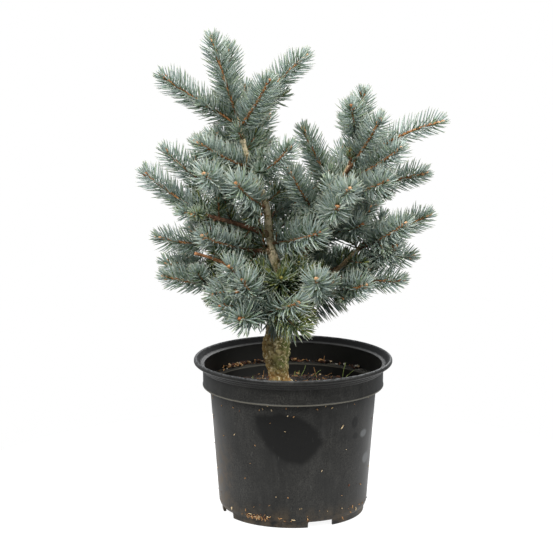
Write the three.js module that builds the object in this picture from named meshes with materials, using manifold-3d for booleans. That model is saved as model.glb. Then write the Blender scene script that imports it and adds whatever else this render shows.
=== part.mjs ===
// A dwarf blue spruce in a round nursery pot: a stem with a second leader, eight boughs, a cut twig and the masses
// of needles round them. Millimetres, +Z up. The origin is the middle of the pot's flat underside; -Y is the front.
import * as THREE from "three";
import { mergeVertices } from "three/addons/utils/BufferGeometryUtils.js";
import Module from "manifold-3d";

const wasm = await Module();
wasm.setup();

const SEAT = 0.3; // gap where two pieces meet
const UP = new THREE.Vector3(0, 0, 1);

// The pot: radii and heights of its outer profile.
const RIM_RADIUS = 115;
const RIM_TOP = 181.2;
const BAND_RADIUS = 104.4; // the upright band under the rim
const BAND_TOP = 168.6;
const BAND_FOOT = 149.2;
const LOWER_RING_TOP = 171.6; // two moulded rings between the band and the rolled edge
const UPPER_RING_TOP = 174.8;
const BODY_TOP_RADIUS = 96.4;
const BODY_FOOT_RADIUS = 86;
const FOOT_RADIUS = 82.6; // the pot stands on this ring and on the flat hub in its middle
const FOOT_WIDTH = 3.4;
const FOOT_HEIGHT = 7.5;
const HUB_RADIUS = 46;
const HUB_SLOPE = 1.5;
const UNDER_FLOOR = 7.3; // height of the floor's underside between hub and foot
const WALL = 2;
const FLOOR = 2.4;
const POT_SEGMENTS = 36;
const NOTCHES = 4; // drainage notches through the foot
const NOTCH_WIDTH = 31;
const NOTCH_HEIGHT = 7;
const FIRST_NOTCH = 22.5; // compass of one notch, in degrees

// The compost, mounded to the stem's foot.
const COMPOST_TOP = 149.7;
const COMPOST_EDGE = 141;
const MOUND_RADIUS = 34;

// The trunk: x, y, height and radius at its foot, waist, swelling, forks and tip.
const TRUNK = [
  [-16, 0, 150, 12.2],
  [-17, 0, 160, 10.6],
  [-19, 0, 190, 15.2],
  [-18.5, 0, 208, 14.4],
  [-16, 2, 240, 10.5],
  [-17.5, 3, 275, 5.8],
  [-24, 3, 305, 4.9],
  [-28, 3, 330, 4.9],
  [-33, 3, 366, 3.8],
  [-52, 3, 414, 3],
  [-64, 3, 463, 2.2],
];
const TRUNK_STEPS = 2; // rings from one of those places to the next
const TRUNK_SIDES = 10;
const BOUGH_SIDES = 6;
const BOUGH_STEP = 18; // from ring to ring

// Angles are in degrees: a compass of 0 is +X and 90 is the back, and a lift is the rise gained from root to tip.
// name, parent, share of the parent's length, compass, rise, length, lift, root radius, tip radius
const BOUGHS = [
  ["right_leader", "trunk", 0.3, 6, 63, 178, 0, 6.2, 2.3],
  ["right_bough", "trunk", 0.27, -8, 40, 130, 20, 4.2, 2.2],
  ["right_low_bough", "trunk", 0.245, -12, 27, 77, 10, 3.8, 2.2],
  ["front_bough", "trunk", 0.285, -120, 2, 54, 0, 3.6, 2.2],
  ["left_low_bough", "trunk", 0.345, -166, 8, 76, 6, 3.4, 2],
  ["back_low_bough", "trunk", 0.37, 75, 8, 72, 12, 3.8, 2.2],
  ["left_middle_bough", "trunk", 0.49, -162, 9, 78, 10, 3, 1.9],
  ["left_old_bough", "trunk", 0.55, -150, 20, 84, -8, 3.2, 2.4],
  ["left_upper_bough", "trunk", 0.67, -160, 20, 80, 6, 3.2, 2],
  ["cut_twig", "left_low_bough", 0.3, -156, 31, 95, -30, 1.9, 1.4],
].map(([name, parent, share, compass, rise, length, lift, root, tip]) => {
  return { name, parent, share, compass, rise, length, lift, root, tip };
});

// name, limb, share of the limb's length, compass, rise, reach, newest shoot's length, side shoots (below 0: the
// other hand first), roll of the side shoots out of the level, lift
const MASSES = [
  ["leader_spray", "trunk", 1, -163, 72, 92, 72, 1, 60, 6],
  ["top_left_spray", "trunk", 0.965, -174, 33, 102, 70, 0, 0, 6],
  ["top_right_spray", "trunk", 0.93, 1, 51, 114, 64, 0, 0, -24],
  ["top_front_spray", "trunk", 0.955, -56, 45, 82, 62, 0, 0, 10],
  ["top_back_spray", "trunk", 0.91, 88, 40, 80, 58, 2, 0, 12],
  ["upper_left_spray", "trunk", 0.8, -150, 27, 75, 58, 0, 0, 12],
  ["upper_right_spray", "trunk", 0.765, -49, 35, 70, 56, 0, 0, 12],
  ["upper_back_spray", "trunk", 0.825, 100, 19, 96, 60, 4, 0, 12],
  ["left_crest_spray", "left_upper_bough", 1, -170, 42, 56, 48, 0, 0, 12],
  ["left_crest_front_spray", "left_upper_bough", 0.62, -108, 23, 78, 58, 0, 0, 12],
  ["left_outer_spray", "left_old_bough", 1, 178, 35, 87, 58, 0, 0, 16],
  ["front_upper_spray", "trunk", 0.65, -113, 26, 92, 60, 0, 0, 12],
  ["left_tip_spray", "left_middle_bough", 1, -176, 9, 56, 46, 0, 0, 12],
  ["left_front_spray", "left_middle_bough", 0.3, -134, 19, 83, 58, 1, 0, 12],
  ["left_under_spray", "left_low_bough", 0.82, 159, 16, 78, 60, 1, 0, 12],
  ["left_low_tip_spray", "left_low_bough", 1, -170, 11, 58, 50, 1, 0, 12],
  ["left_low_viewer_spray", "left_low_bough", 0.42, -108, 27, 88, 60, -2, -75, 12],
  ["front_tall_spray", "front_bough", 0.58, -112, 35, 82, 60, 1, -15, 12],
  ["front_low_spray", "front_bough", 1, -108, 6, 54, 52, -1, -180, 12],
  ["front_right_spray", "front_bough", 0.8, -54, 18, 74, 56, -1, -75, 12],
  ["middle_front_spray", "trunk", 0.52, -50, 16, 86, 62, 0, 0, 12],
  ["inner_old_spray", "trunk", 0.355, -87, 22, 56, 46, 2, 0, 12],
  ["leader_left_spray", "right_leader", 0.81, -166, 62, 82, 60, 0, 0, 8],
  ["leader_inner_spray", "right_leader", 0.6, -138, 52, 80, 60, 0, 0, 12],
  ["right_crown_spray", "right_leader", 1, -50, 75, 88, 60, 1, -45, 8],
  ["right_crown_front_spray", "right_leader", 0.94, -60, 44, 100, 60, 0, 0, 12],
  ["right_far_spray", "right_leader", 0.94, -10, 30, 126, 68, 0, 0, -30],
  ["right_viewer_spray", "right_leader", 0.87, -48, 28, 108, 60, 0, 0, 12],
  ["right_arm_spray", "right_leader", 0.835, -14, 12, 102, 60, 0, 0, 12],
  ["leader_front_spray", "right_leader", 0.78, -54, 17, 100, 60, 0, 0, 12],
  ["leader_viewer_spray", "right_leader", 0.7, -77, 21, 102, 60, 0, 0, 12],
  ["leader_low_front_spray", "right_leader", 0.625, -81, 17, 94, 60, 0, 0, 12],
  ["right_inner_spray", "right_leader", 0.46, -18, 30, 80, 54, 2, -30, 40],
  ["right_tip_spray", "right_bough", 1, -3, 24, 78, 56, 0, 0, 10],
  ["right_tip_front_spray", "right_bough", 0.92, -52, 27, 88, 60, 0, 0, 12],
  ["right_mid_spray", "right_bough", 0.83, -11, 2, 68, 54, 1, 0, 14],
  ["right_under_spray", "right_bough", 0.58, -18, -1, 82, 58, 0, 0, 16],
  ["right_low_tip_spray", "right_low_bough", 1, -53, 16, 52, 46, -1, -15, 12],
  ["right_low_viewer_spray", "right_low_bough", 0.7, -94, 26, 94, 60, 0, 0, 12],
  ["back_low_spray", "back_low_bough", 1, 85, 14, 66, 52, 4, 0, 12],
  ["back_left_spray", "trunk", 0.5, 138, 16, 132, 58, 5, 0, 16],
  ["back_right_spray", "right_leader", 0.5, 62, 10, 112, 58, 4, 0, 12],
  ["back_middle_spray", "trunk", 0.6, 62, 30, 88, 58, 3, 0, 12],
  ["back_lower_left_spray", "trunk", 0.4, 125, 4, 104, 56, 4, 0, 14],
  ["back_lower_right_spray", "right_leader", 0.2, 35, 4, 104, 56, 4, 0, 14],
  ["back_upper_left_spray", "trunk", 0.715, 142, 28, 98, 58, 4, 0, 12],
  ["back_crown_spray", "right_leader", 0.75, 78, 34, 88, 58, 4, 0, 12],
].map(([name, limb, share, compass, rise, reach, newest, sides, roll, lift], index) => {
  return { name, index, limb, share, compass, rise, reach, newest, sides, roll, lift };
});

// The rule for shoots and needles.
const OPEN = 46; // angle between a shoot and its side shoots
const WHORL_STEP = 24; // from one pair of side shoots to the pair behind it
const SIDE_SHARE = 0.82; // of the newest shoot's length
const SHORTER_SIDE = 0.06; // lost of that share by each pair behind
const SIDE_RISE = 5;
const SIDE_LIFT = 14;
const SIDE_BARE = 3; // with no needles
const RETRIES = [0, 35, -35, 70]; // turns tried on a side shoot that meets another
const SHOOT_STEP = 12; // from ring to ring
const TWIG_GAP = 5; // between the middles of twigs in two masses
const LIMB_GAP = 7; // between the middles of a twig and a limb
const TWIG_RADIUS = 1.8;
const CORE_RADIUS = 2.8; // of a shoot where its needles stand
const LEAST_RADIUS = 0.9;
const TWIG_SIDES = 3;
const NEEDLE_STEP = 14; // from one row of needles to the next
const NEEDLE = 16;
const NEEDLE_OPEN = 62; // angle between a shoot and its needles
const TIP_OPEN = 30; // and round its bud
const BUD = 3;
const NEEDLE_LENGTHS = [1, 0.7, 0.45]; // shares tried until a needle fits
const NEEDLE_GAP = 0.8; // left between needles of two masses, and between needles and limbs

const PLASTIC = { color: 0x37372f, roughness: 0.55, metalness: 0 };
const SOIL = { color: 0x3a2a1e, roughness: 0.95, metalness: 0 };
const BARK = { color: 0x7d6a4c, roughness: 0.9, metalness: 0 };
const DEAD_WOOD = { color: 0xa8683c, roughness: 0.85, metalness: 0 };
const NEEDLES = { color: 0x8fa5a2, roughness: 0.6, metalness: 0 };

const radians = THREE.MathUtils.degToRad;

// The same number between 0 and 1 for the same seed.
function jitter(seed) {
  const wave = Math.sin(seed * 12.9898) * 43758.5453;
  return wave - Math.floor(wave);
}

function heading(compass, rise) {
  const level = Math.cos(radians(rise));
  return new THREE.Vector3(
    Math.cos(radians(compass)) * level,
    Math.sin(radians(compass)) * level,
    Math.sin(radians(rise)),
  );
}

// A line that leaves at rise - lift / 2 and ends at rise + lift / 2.
function arc(start, compass, rise, length, lift, steps) {
  const points = [start.clone()];
  for (let i = 0; i < steps; i++) {
    const turned = rise + lift * ((i + 0.5) / steps - 0.5);
    const step = heading(compass, turned).multiplyScalar(length / steps);
    points.push(points[i].clone().add(step));
  }
  return points;
}

function lengths(points) {
  const sums = [0];
  for (let i = 1; i < points.length; i++) sums.push(sums[i - 1] + points[i].distanceTo(points[i - 1]));
  return sums;
}

// The point and direction at a distance along a line.
function along(points, distance) {
  const sums = lengths(points);
  let i = 0;
  while (i < points.length - 2 && sums[i + 1] <= distance) i++;
  const share = (distance - sums[i]) / (sums[i + 1] - sums[i]);
  return {
    point: points[i].clone().lerp(points[i + 1], share),
    direction: points[i + 1].clone().sub(points[i]).normalize(),
  };
}

// A smooth curve through the trunk's places, one value for each column.
function trunkAt(i, k) {
  const rows = [i - 1, i, i + 1, i + 2].map((n) => TRUNK[THREE.MathUtils.clamp(n, 0, TRUNK.length - 1)]);
  return [0, 1, 2, 3].map((column) => {
    const [a, b, c, d] = rows.map((row) => row[column]);
    return b + 0.5 * k * (c - a + k * (2 * a - 5 * b + 4 * c - d + k * (3 * b - a - 3 * c + d)));
  });
}

function growTrunk() {
  const rings = [];
  for (let i = 0; i < TRUNK.length - 1; i++)
    for (let step = 0; step < TRUNK_STEPS; step++) rings.push(trunkAt(i, step / TRUNK_STEPS));
  rings.push(TRUNK.at(-1));
  const points = rings.map(([x, y, z]) => new THREE.Vector3(x, y, z));
  return { name: "trunk", points, radii: rings.map((ring) => ring[3]) };
}

const placeOn = (limb, share) => along(limb.points, share * lengths(limb.points).at(-1)).point;

function growLimbs() {
  const limbs = new Map([["trunk", growTrunk()]]);
  for (const { name, parent, share, compass, rise, length, lift, root, tip } of BOUGHS) {
    const start = placeOn(limbs.get(parent), share);
    const points = arc(start, compass, rise, length, lift, Math.max(3, Math.round(length / BOUGH_STEP)));
    const radii = points.map((_, i) => root + ((tip - root) * i) / (points.length - 1));
    limbs.set(name, { name, points, radii });
  }
  return limbs;
}

// Squared distance between a point and the stretch from a to b.
function squaredDistance(point, a, b) {
  const run = b.clone().sub(a);
  const share = THREE.MathUtils.clamp(point.clone().sub(a).dot(run) / run.lengthSq(), 0, 1);
  return point.distanceToSquared(run.multiplyScalar(share).add(a));
}

function distanceTo(point, points) {
  let best = Infinity;
  for (let i = 0; i < points.length - 1; i++) best = Math.min(best, squaredDistance(point, points[i], points[i + 1]));
  return Math.sqrt(best);
}

const nearest = (point, lines) => Math.min(...lines.map((line) => distanceTo(point, line)));

// How far a point is from the bark of the nearest limb.
function offBark(point, limbs) {
  const gaps = limbs.flatMap(({ points, radii }) =>
    points.slice(1).map((end, i) => {
      return Math.sqrt(squaredDistance(point, points[i], end)) - Math.max(radii[i], radii[i + 1]);
    }),
  );
  return Math.min(...gaps);
}

function isClear(points, others, gap) {
  const samples = points.flatMap((p, i) => (i ? [p, p.clone().lerp(points[i - 1], 0.5)] : []));
  return samples.every((p) => others.every((other) => distanceTo(p, other) > gap));
}

const shootSteps = (length) => Math.max(3, Math.round(length / SHOOT_STEP));

// The stem of a mass, which its newest shoot ends.
function growStem(mass, limbs) {
  const { index, limb, share, compass, rise, reach, newest, lift } = mass;
  const points = arc(placeOn(limbs.get(limb), share), compass, rise, reach, lift, shootSteps(reach));
  return { index, points, bare: Math.max(4, (reach - newest) * 0.45) };
}

// One side shoot, of the pair at the foot of the newest shoot or of a pair behind it.
function growSide({ index, reach, newest, sides, roll }, stem, i, turned) {
  const pair = Math.floor(i / 2);
  const hand = (i % 2 ? -1 : 1) * Math.sign(sides);
  const at = Math.max(10, reach - newest + 5 - pair * WHORL_STEP + jitter(index * 31 + i) * 6);
  const { point, direction } = along(stem.points, at);
  const level = direction.clone().cross(UP).normalize();
  const upper = level.clone().cross(direction);
  const tilt = radians(roll + turned + (jitter(index * 17 + i * 5) - 0.5) * 40);
  const open = radians(OPEN + (jitter(index * 13 + i * 3 + 2) - 0.5) * 14);
  const outward = level.multiplyScalar(Math.cos(tilt) * hand).addScaledVector(upper, Math.sin(tilt));
  const way = direction.multiplyScalar(Math.cos(open)).addScaledVector(outward, Math.sin(open));
  way.addScaledVector(UP, 0.12).normalize();
  const compass = THREE.MathUtils.radToDeg(Math.atan2(way.y, way.x));
  const rise = THREE.MathUtils.radToDeg(Math.asin(way.z)) + SIDE_RISE;
  const length = newest * (SIDE_SHARE - SHORTER_SIDE * pair) * (0.9 + 0.2 * jitter(index * 11 + i));
  return { index, points: arc(point, compass, rise, length, SIDE_LIFT, shootSteps(length)), bare: SIDE_BARE };
}

// Every stem first, then the side shoots that keep clear of the other masses and of the limbs.
function growShoots(limbs) {
  const stems = MASSES.map((mass) => growStem(mass, limbs));
  const shoots = [...stems];
  const limbLines = [...limbs.values()].map((limb) => limb.points);
  for (const mass of MASSES)
    for (let i = 0; i < Math.abs(mass.sides); i++) {
      const others = shoots.filter((shoot) => shoot.index !== mass.index).map((shoot) => shoot.points);
      const side = RETRIES.map((turned) => growSide(mass, stems[mass.index], i, turned)).find(({ points }) => {
        return isClear(points, others, TWIG_GAP) && isClear(points.slice(1), limbLines, LIMB_GAP);
      });
      if (side) shoots.push(side);
    }
  return shoots;
}

// Frames along a line that don't twist.
function framesOf(points, first) {
  const frames = [];
  let across = null;
  points.forEach((point, i) => {
    const before = points[Math.max(i - 1, 0)];
    const after = points[Math.min(i + 1, points.length - 1)];
    const along = i === 0 && first ? first.clone() : after.clone().sub(before).normalize();
    if (!across) across = new THREE.Vector3(Math.abs(along.x) < 0.8 ? 1 : 0, Math.abs(along.x) < 0.8 ? 0 : 1, 0);
    across = across.clone().addScaledVector(along, -across.dot(along)).normalize();
    frames.push({ point, along, across, beside: along.clone().cross(across) });
  });
  return frames;
}

function ringPoint(frame, radius, angle) {
  return frame.point
    .clone()
    .addScaledVector(frame.across, Math.cos(angle) * radius)
    .addScaledVector(frame.beside, Math.sin(angle) * radius);
}

function solidFrom(vertices, triangles) {
  const vertProperties = new Float32Array(vertices.flatMap((v) => [v.x, v.y, v.z]));
  const triVerts = new Uint32Array(triangles.flat());
  return new wasm.Manifold(new wasm.Mesh({ numProp: 3, vertProperties, triVerts }));
}

function solidOf(geometry) {
  const bare = geometry.clone();
  bare.deleteAttribute("normal");
  bare.deleteAttribute("uv");
  const merged = mergeVertices(bare, 1e-3);
  const vertProperties = new Float32Array(merged.attributes.position.array);
  const triVerts = new Uint32Array(merged.index.array);
  return new wasm.Manifold(new wasm.Mesh({ numProp: 3, vertProperties, triVerts }));
}

// A tapering limb with flat ends.
function limbSolid({ points, radii }, sides, swell = 0, first = null) {
  const frames = framesOf(points, first);
  const last = frames.length - 1;
  const ends = frames.map((frame, i) => {
    const shift = i === 0 ? -swell : i === last ? swell : 0;
    return { ...frame, point: frame.point.clone().addScaledVector(frame.along, shift) };
  });
  const vertices = ends.flatMap((frame, i) =>
    Array.from({ length: sides }, (_, k) => ringPoint(frame, radii[i] + swell, (2 * Math.PI * k) / sides)),
  );
  vertices.push(ends[0].point, ends[last].point);
  const triangles = [];
  for (let k = 0; k < sides; k++) {
    const next = (k + 1) % sides;
    for (let i = 0; i < last; i++) {
      const [a, b, c, d] = [i * sides + k, i * sides + next, (i + 1) * sides + next, (i + 1) * sides + k];
      triangles.push([a, b, c], [a, c, d]);
    }
    triangles.push([vertices.length - 2, next, k], [vertices.length - 1, last * sides + k, last * sides + next]);
  }
  return solidFrom(vertices, triangles);
}

// Whether a needle stays nearer its own shoot than any other, and clear of the limbs and the pot's rim; and how
// thick the shoot may be at a point.
function ownSpace(shoot, shoots, limbs) {
  const own = shoots.filter((other) => other.index === shoot.index && other !== shoot);
  const sisters = own.map((other) => other.points);
  const others = shoots.filter((other) => other.index !== shoot.index).map((other) => other.points);
  const fits = (point) => {
    const reach = distanceTo(point, shoot.points);
    const isOverRim = point.z < RIM_TOP + 4 && Math.hypot(point.x, point.y) > 90;
    if (isOverRim || nearest(point, others) < reach + 2 * NEEDLE_GAP) return false;
    return nearest(point, sisters) > reach && offBark(point, limbs) > NEEDLE_GAP;
  };
  return {
    holds: (middle, lean, length) =>
      [0.25, 0.5, 0.75, 1].every((share) => fits(middle.clone().addScaledVector(lean, length * share))),
    radiusAt: (point, wanted) => {
      const room = Math.min(nearest(point, others) / 2 - NEEDLE_GAP / 2, offBark(point, limbs) - NEEDLE_GAP / 2);
      return THREE.MathUtils.clamp(room, LEAST_RADIUS, wanted);
    },
  };
}

// A shoot: a slim three-sided twig whose faces past the bare stretch are drawn out to needles.
function shootSolid(shoot, space) {
  const total = lengths(shoot.points).at(-1);
  const rows = Math.max(2, Math.round((total - shoot.bare) / NEEDLE_STEP));
  const stations = [0, ...Array.from({ length: rows + 1 }, (_, i) => shoot.bare + ((total - shoot.bare) * i) / rows)];
  const frames = framesOf(stations.map((distance) => along(shoot.points, distance).point));
  const tip = frames.at(-1);
  const vertices = frames.flatMap((frame, i) => {
    const wanted = i < 2 || i > rows ? TWIG_RADIUS : CORE_RADIUS;
    const radius = i ? space.radiusAt(frame.point, wanted) : TWIG_RADIUS;
    return Array.from({ length: TWIG_SIDES }, (_, k) =>
      ringPoint(frame, radius, (2 * Math.PI * (k + 0.5 * (i % 2))) / TWIG_SIDES),
    );
  });
  vertices.push(frames[0].point, tip.point.clone().addScaledVector(tip.along, BUD));
  const [foot, bud] = [vertices.length - 2, vertices.length - 1];
  const triangles = [];
  const addFace = (corners, open, way) => {
    const [p, q, r] = corners.map((corner) => vertices[corner]);
    const middle = p.clone().add(q).add(r).divideScalar(3);
    const outward = q.clone().sub(p).cross(r.clone().sub(p));
    outward.addScaledVector(way, -outward.dot(way)).normalize();
    const lean = way.clone().multiplyScalar(Math.cos(radians(open)));
    lean.addScaledVector(outward, Math.sin(radians(open)));
    const share = NEEDLE_LENGTHS.find((tried) => space.holds(middle, lean, NEEDLE * tried));
    if (!share) {
      triangles.push(corners);
      return;
    }
    const end = vertices.push(middle.addScaledVector(lean, NEEDLE * share)) - 1;
    corners.forEach((corner, k) => triangles.push([corner, corners[(k + 1) % 3], end]));
  };
  const last = frames.length - 1;
  for (let k = 0; k < TWIG_SIDES; k++) {
    const next = (k + 1) % TWIG_SIDES;
    for (let i = 0; i < last; i++) {
      const [a, b] = [i * TWIG_SIDES + k, i * TWIG_SIDES + next];
      const [c, d] = [b + TWIG_SIDES, a + TWIG_SIDES];
      const faces = i % 2 ? [[a, b, c], [a, c, d]] : [[a, b, d], [b, c, d]];
      if (i) faces.forEach((corners) => addFace(corners, NEEDLE_OPEN, frames[i].along));
      else triangles.push(...faces);
    }
    triangles.push([foot, next, k]);
    addFace([last * TWIG_SIDES + k, last * TWIG_SIDES + next, bud], TIP_OPEN, tip.along);
  }
  return solidFrom(vertices, triangles);
}

const largest = (solid) => solid.decompose().sort((a, b) => b.volume() - a.volume())[0];

function meshOf(name, solid, finish) {
  const { vertProperties, triVerts } = solid.getMesh();
  const geometry = new THREE.BufferGeometry();
  geometry.setAttribute("position", new THREE.BufferAttribute(vertProperties, 3));
  geometry.setIndex(new THREE.BufferAttribute(triVerts, 1));
  geometry.computeVertexNormals();
  const mesh = new THREE.Mesh(geometry, new THREE.MeshStandardMaterial(finish));
  mesh.name = name;
  return mesh;
}

// A profile of radius and height pairs, turned about the pot's axis.
function turned(profile, segments) {
  const points = profile.map(([radius, height]) => new THREE.Vector2(radius, height));
  return solidOf(new THREE.LatheGeometry(points, segments).rotateX(Math.PI / 2));
}

function potSolid() {
  const shell = turned(
    [
      [0, 0],
      [HUB_RADIUS, 0],
      [HUB_RADIUS + HUB_SLOPE, UNDER_FLOOR],
      [FOOT_RADIUS - FOOT_WIDTH, UNDER_FLOOR],
      [FOOT_RADIUS - FOOT_WIDTH, 0],
      [FOOT_RADIUS - 0.8, 0],
      [FOOT_RADIUS, 1],
      [FOOT_RADIUS + 0.4, FOOT_HEIGHT],
      [BODY_FOOT_RADIUS - 1.4, FOOT_HEIGHT + 1.2],
      [BODY_FOOT_RADIUS, FOOT_HEIGHT + 5],
      [BODY_TOP_RADIUS, BAND_FOOT - 0.6],
      [BAND_RADIUS - 0.5, BAND_FOOT - 0.4],
      [BAND_RADIUS, BAND_FOOT + 0.4],
      [BAND_RADIUS + 0.2, BAND_TOP],
      [BAND_RADIUS + 2.5, BAND_TOP + 0.9],
      [BAND_RADIUS + 2.7, LOWER_RING_TOP],
      [RIM_RADIUS - 5.4, LOWER_RING_TOP + 1.1],
      [RIM_RADIUS - 5.2, UPPER_RING_TOP],
      [RIM_RADIUS - 1.3, UPPER_RING_TOP + 0.8],
      [RIM_RADIUS, RIM_TOP - 4.2],
      [RIM_RADIUS, RIM_TOP - 2],
      [RIM_RADIUS - 1, RIM_TOP - 0.5],
      [RIM_RADIUS - 2.4, RIM_TOP],
      [RIM_RADIUS - 3.7, RIM_TOP - 0.7],
      [RIM_RADIUS - 7.4, UPPER_RING_TOP + 0.8],
      [RIM_RADIUS - 8.2, UPPER_RING_TOP + 0.4],
      [BAND_RADIUS - WALL + 0.4, UPPER_RING_TOP - 0.4],
      [BAND_RADIUS - WALL, BAND_FOOT + WALL + 1],
      [BODY_TOP_RADIUS - WALL + 0.6, BAND_FOOT + WALL + 0.4],
      [BODY_TOP_RADIUS - WALL, BAND_FOOT + 1],
      [BODY_FOOT_RADIUS - WALL - 0.6, FOOT_HEIGHT + 5],
      [FOOT_RADIUS - FOOT_WIDTH, UNDER_FLOOR + FLOOR],
      [HUB_RADIUS - FLOOR + HUB_SLOPE, UNDER_FLOOR + FLOOR],
      [HUB_RADIUS - FLOOR, FLOOR],
      [0, FLOOR],
    ],
    POT_SEGMENTS,
  );
  let pot = shell;
  const cutterDepth = 20;
  for (let i = 0; i < NOTCHES; i++) {
    const notch = new THREE.BoxGeometry(cutterDepth, NOTCH_WIDTH, 2 * NOTCH_HEIGHT);
    notch.translate(FOOT_RADIUS, 0, 0);
    notch.rotateZ(radians(FIRST_NOTCH + (360 / NOTCHES) * i));
    pot = pot.subtract(solidOf(notch));
  }
  return pot;
}

function compostSolid() {
  const reach = BODY_TOP_RADIUS - WALL - 1;
  return turned(
    [
      [0, FLOOR + SEAT],
      [HUB_RADIUS - FLOOR - 2 * SEAT, FLOOR + SEAT],
      [HUB_RADIUS - FLOOR - 2 * SEAT + HUB_SLOPE, UNDER_FLOOR + FLOOR + SEAT],
      [FOOT_RADIUS - FOOT_WIDTH, UNDER_FLOOR + FLOOR + SEAT],
      [BODY_FOOT_RADIUS - WALL - 1.2, FOOT_HEIGHT + 5.2],
      [reach, COMPOST_EDGE],
      [reach - 20, COMPOST_EDGE + 3],
      [MOUND_RADIUS + 12, COMPOST_TOP - 2],
      [MOUND_RADIUS, COMPOST_TOP],
      [0, COMPOST_TOP],
    ],
    POT_SEGMENTS,
  );
}

const spruce = new THREE.Group();
const limbs = growLimbs();
const shoots = growShoots(limbs);
const limbList = [...limbs.values()];

spruce.add(meshOf("pot", potSolid(), PLASTIC));
spruce.add(meshOf("compost", compostSolid(), SOIL));

// Each limb is cut 0.3 mm clear of the ones before it, which it grows from or passes.
const swollen = new Map();
for (const limb of limbList) {
  const isTrunk = limb.name === "trunk";
  const sides = isTrunk ? TRUNK_SIDES : BOUGH_SIDES;
  let solid = limbSolid(limb, sides, 0, isTrunk ? UP : null);
  for (const other of swollen.values()) solid = solid.subtract(other);
  swollen.set(limb.name, limbSolid(limb, sides, SEAT, isTrunk ? UP : null));
  const finish = limb.name === "cut_twig" ? DEAD_WOOD : BARK;
  spruce.add(meshOf(limb.name, largest(solid), finish));
}

for (const { name, index, limb } of MASSES) {
  const own = shoots.filter((shoot) => shoot.index === index);
  const solids = own.map((shoot) => shootSolid(shoot, ownSpace(shoot, shoots, limbList)));
  const grown = solids.reduce((all, next) => all.add(next));
  spruce.add(meshOf(name, largest(grown.subtract(swollen.get(limb))), NEEDLES));
}

export default spruce;
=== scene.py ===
# A dwarf blue spruce in a black nursery pot: bark, twigs, needles, buds, compost and pot, grown over the
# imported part. Everything is worked out in millimetres and made in metres; +Z is up and -Y is the front.
import math

import bpy
import numpy as np
from mathutils import Euler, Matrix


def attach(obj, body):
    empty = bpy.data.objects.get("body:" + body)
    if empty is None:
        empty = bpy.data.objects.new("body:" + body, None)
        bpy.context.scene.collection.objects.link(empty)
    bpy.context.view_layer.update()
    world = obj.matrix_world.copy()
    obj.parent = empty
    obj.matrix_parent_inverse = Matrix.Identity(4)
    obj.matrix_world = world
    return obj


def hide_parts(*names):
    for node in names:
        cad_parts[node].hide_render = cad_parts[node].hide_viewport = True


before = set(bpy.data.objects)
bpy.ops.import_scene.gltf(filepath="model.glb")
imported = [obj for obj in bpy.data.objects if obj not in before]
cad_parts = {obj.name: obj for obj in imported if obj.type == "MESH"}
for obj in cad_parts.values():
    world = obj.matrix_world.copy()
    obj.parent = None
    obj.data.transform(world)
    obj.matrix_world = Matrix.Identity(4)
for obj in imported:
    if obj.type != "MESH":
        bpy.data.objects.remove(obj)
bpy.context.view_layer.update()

MM = 0.001
UP = np.array([0.0, 0.0, 1.0])
GOLDEN = math.radians(137.508)  # from one needle to the next round a shoot

# The trunk: x, y, height and radius at its foot, waist, swelling, forks and tip.
TRUNK = [
    (-16, 0, 150, 12.2),
    (-17, 0, 160, 10.6),
    (-19, 0, 190, 15.2),
    (-18.5, 0, 208, 14.4),
    (-16, 2, 240, 10.5),
    (-17.5, 3, 275, 5.8),
    (-24, 3, 305, 4.9),
    (-28, 3, 330, 4.9),
    (-33, 3, 366, 3.8),
    (-52, 3, 414, 3),
    (-64, 3, 463, 2.2),
]

# Angles are in degrees: a compass of 0 is +X and 90 is the back. A lift is the rise gained from root to tip.
# name, parent, share of the parent's length, compass, rise, length, lift, root radius, tip radius
BOUGHS = [
    ("right_leader", "trunk", 0.3, 6, 63, 178, 0, 6.2, 2.3),
    ("right_bough", "trunk", 0.27, -8, 40, 130, 20, 4.2, 2.2),
    ("right_low_bough", "trunk", 0.245, -12, 27, 77, 10, 3.8, 2.2),
    ("front_bough", "trunk", 0.285, -120, 2, 54, 0, 3.6, 2.2),
    ("left_low_bough", "trunk", 0.345, -166, 8, 76, 6, 3.4, 2),
    ("back_low_bough", "trunk", 0.37, 75, 8, 72, 12, 3.8, 2.2),
    ("left_middle_bough", "trunk", 0.49, -162, 9, 78, 10, 3, 1.9),
    ("left_old_bough", "trunk", 0.55, -150, 20, 84, -8, 3.2, 2.4),
    ("left_upper_bough", "trunk", 0.67, -160, 20, 80, 6, 3.2, 2),
    ("cut_twig", "left_low_bough", 0.3, -156, 31, 95, -30, 1.9, 1.4),
]

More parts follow.
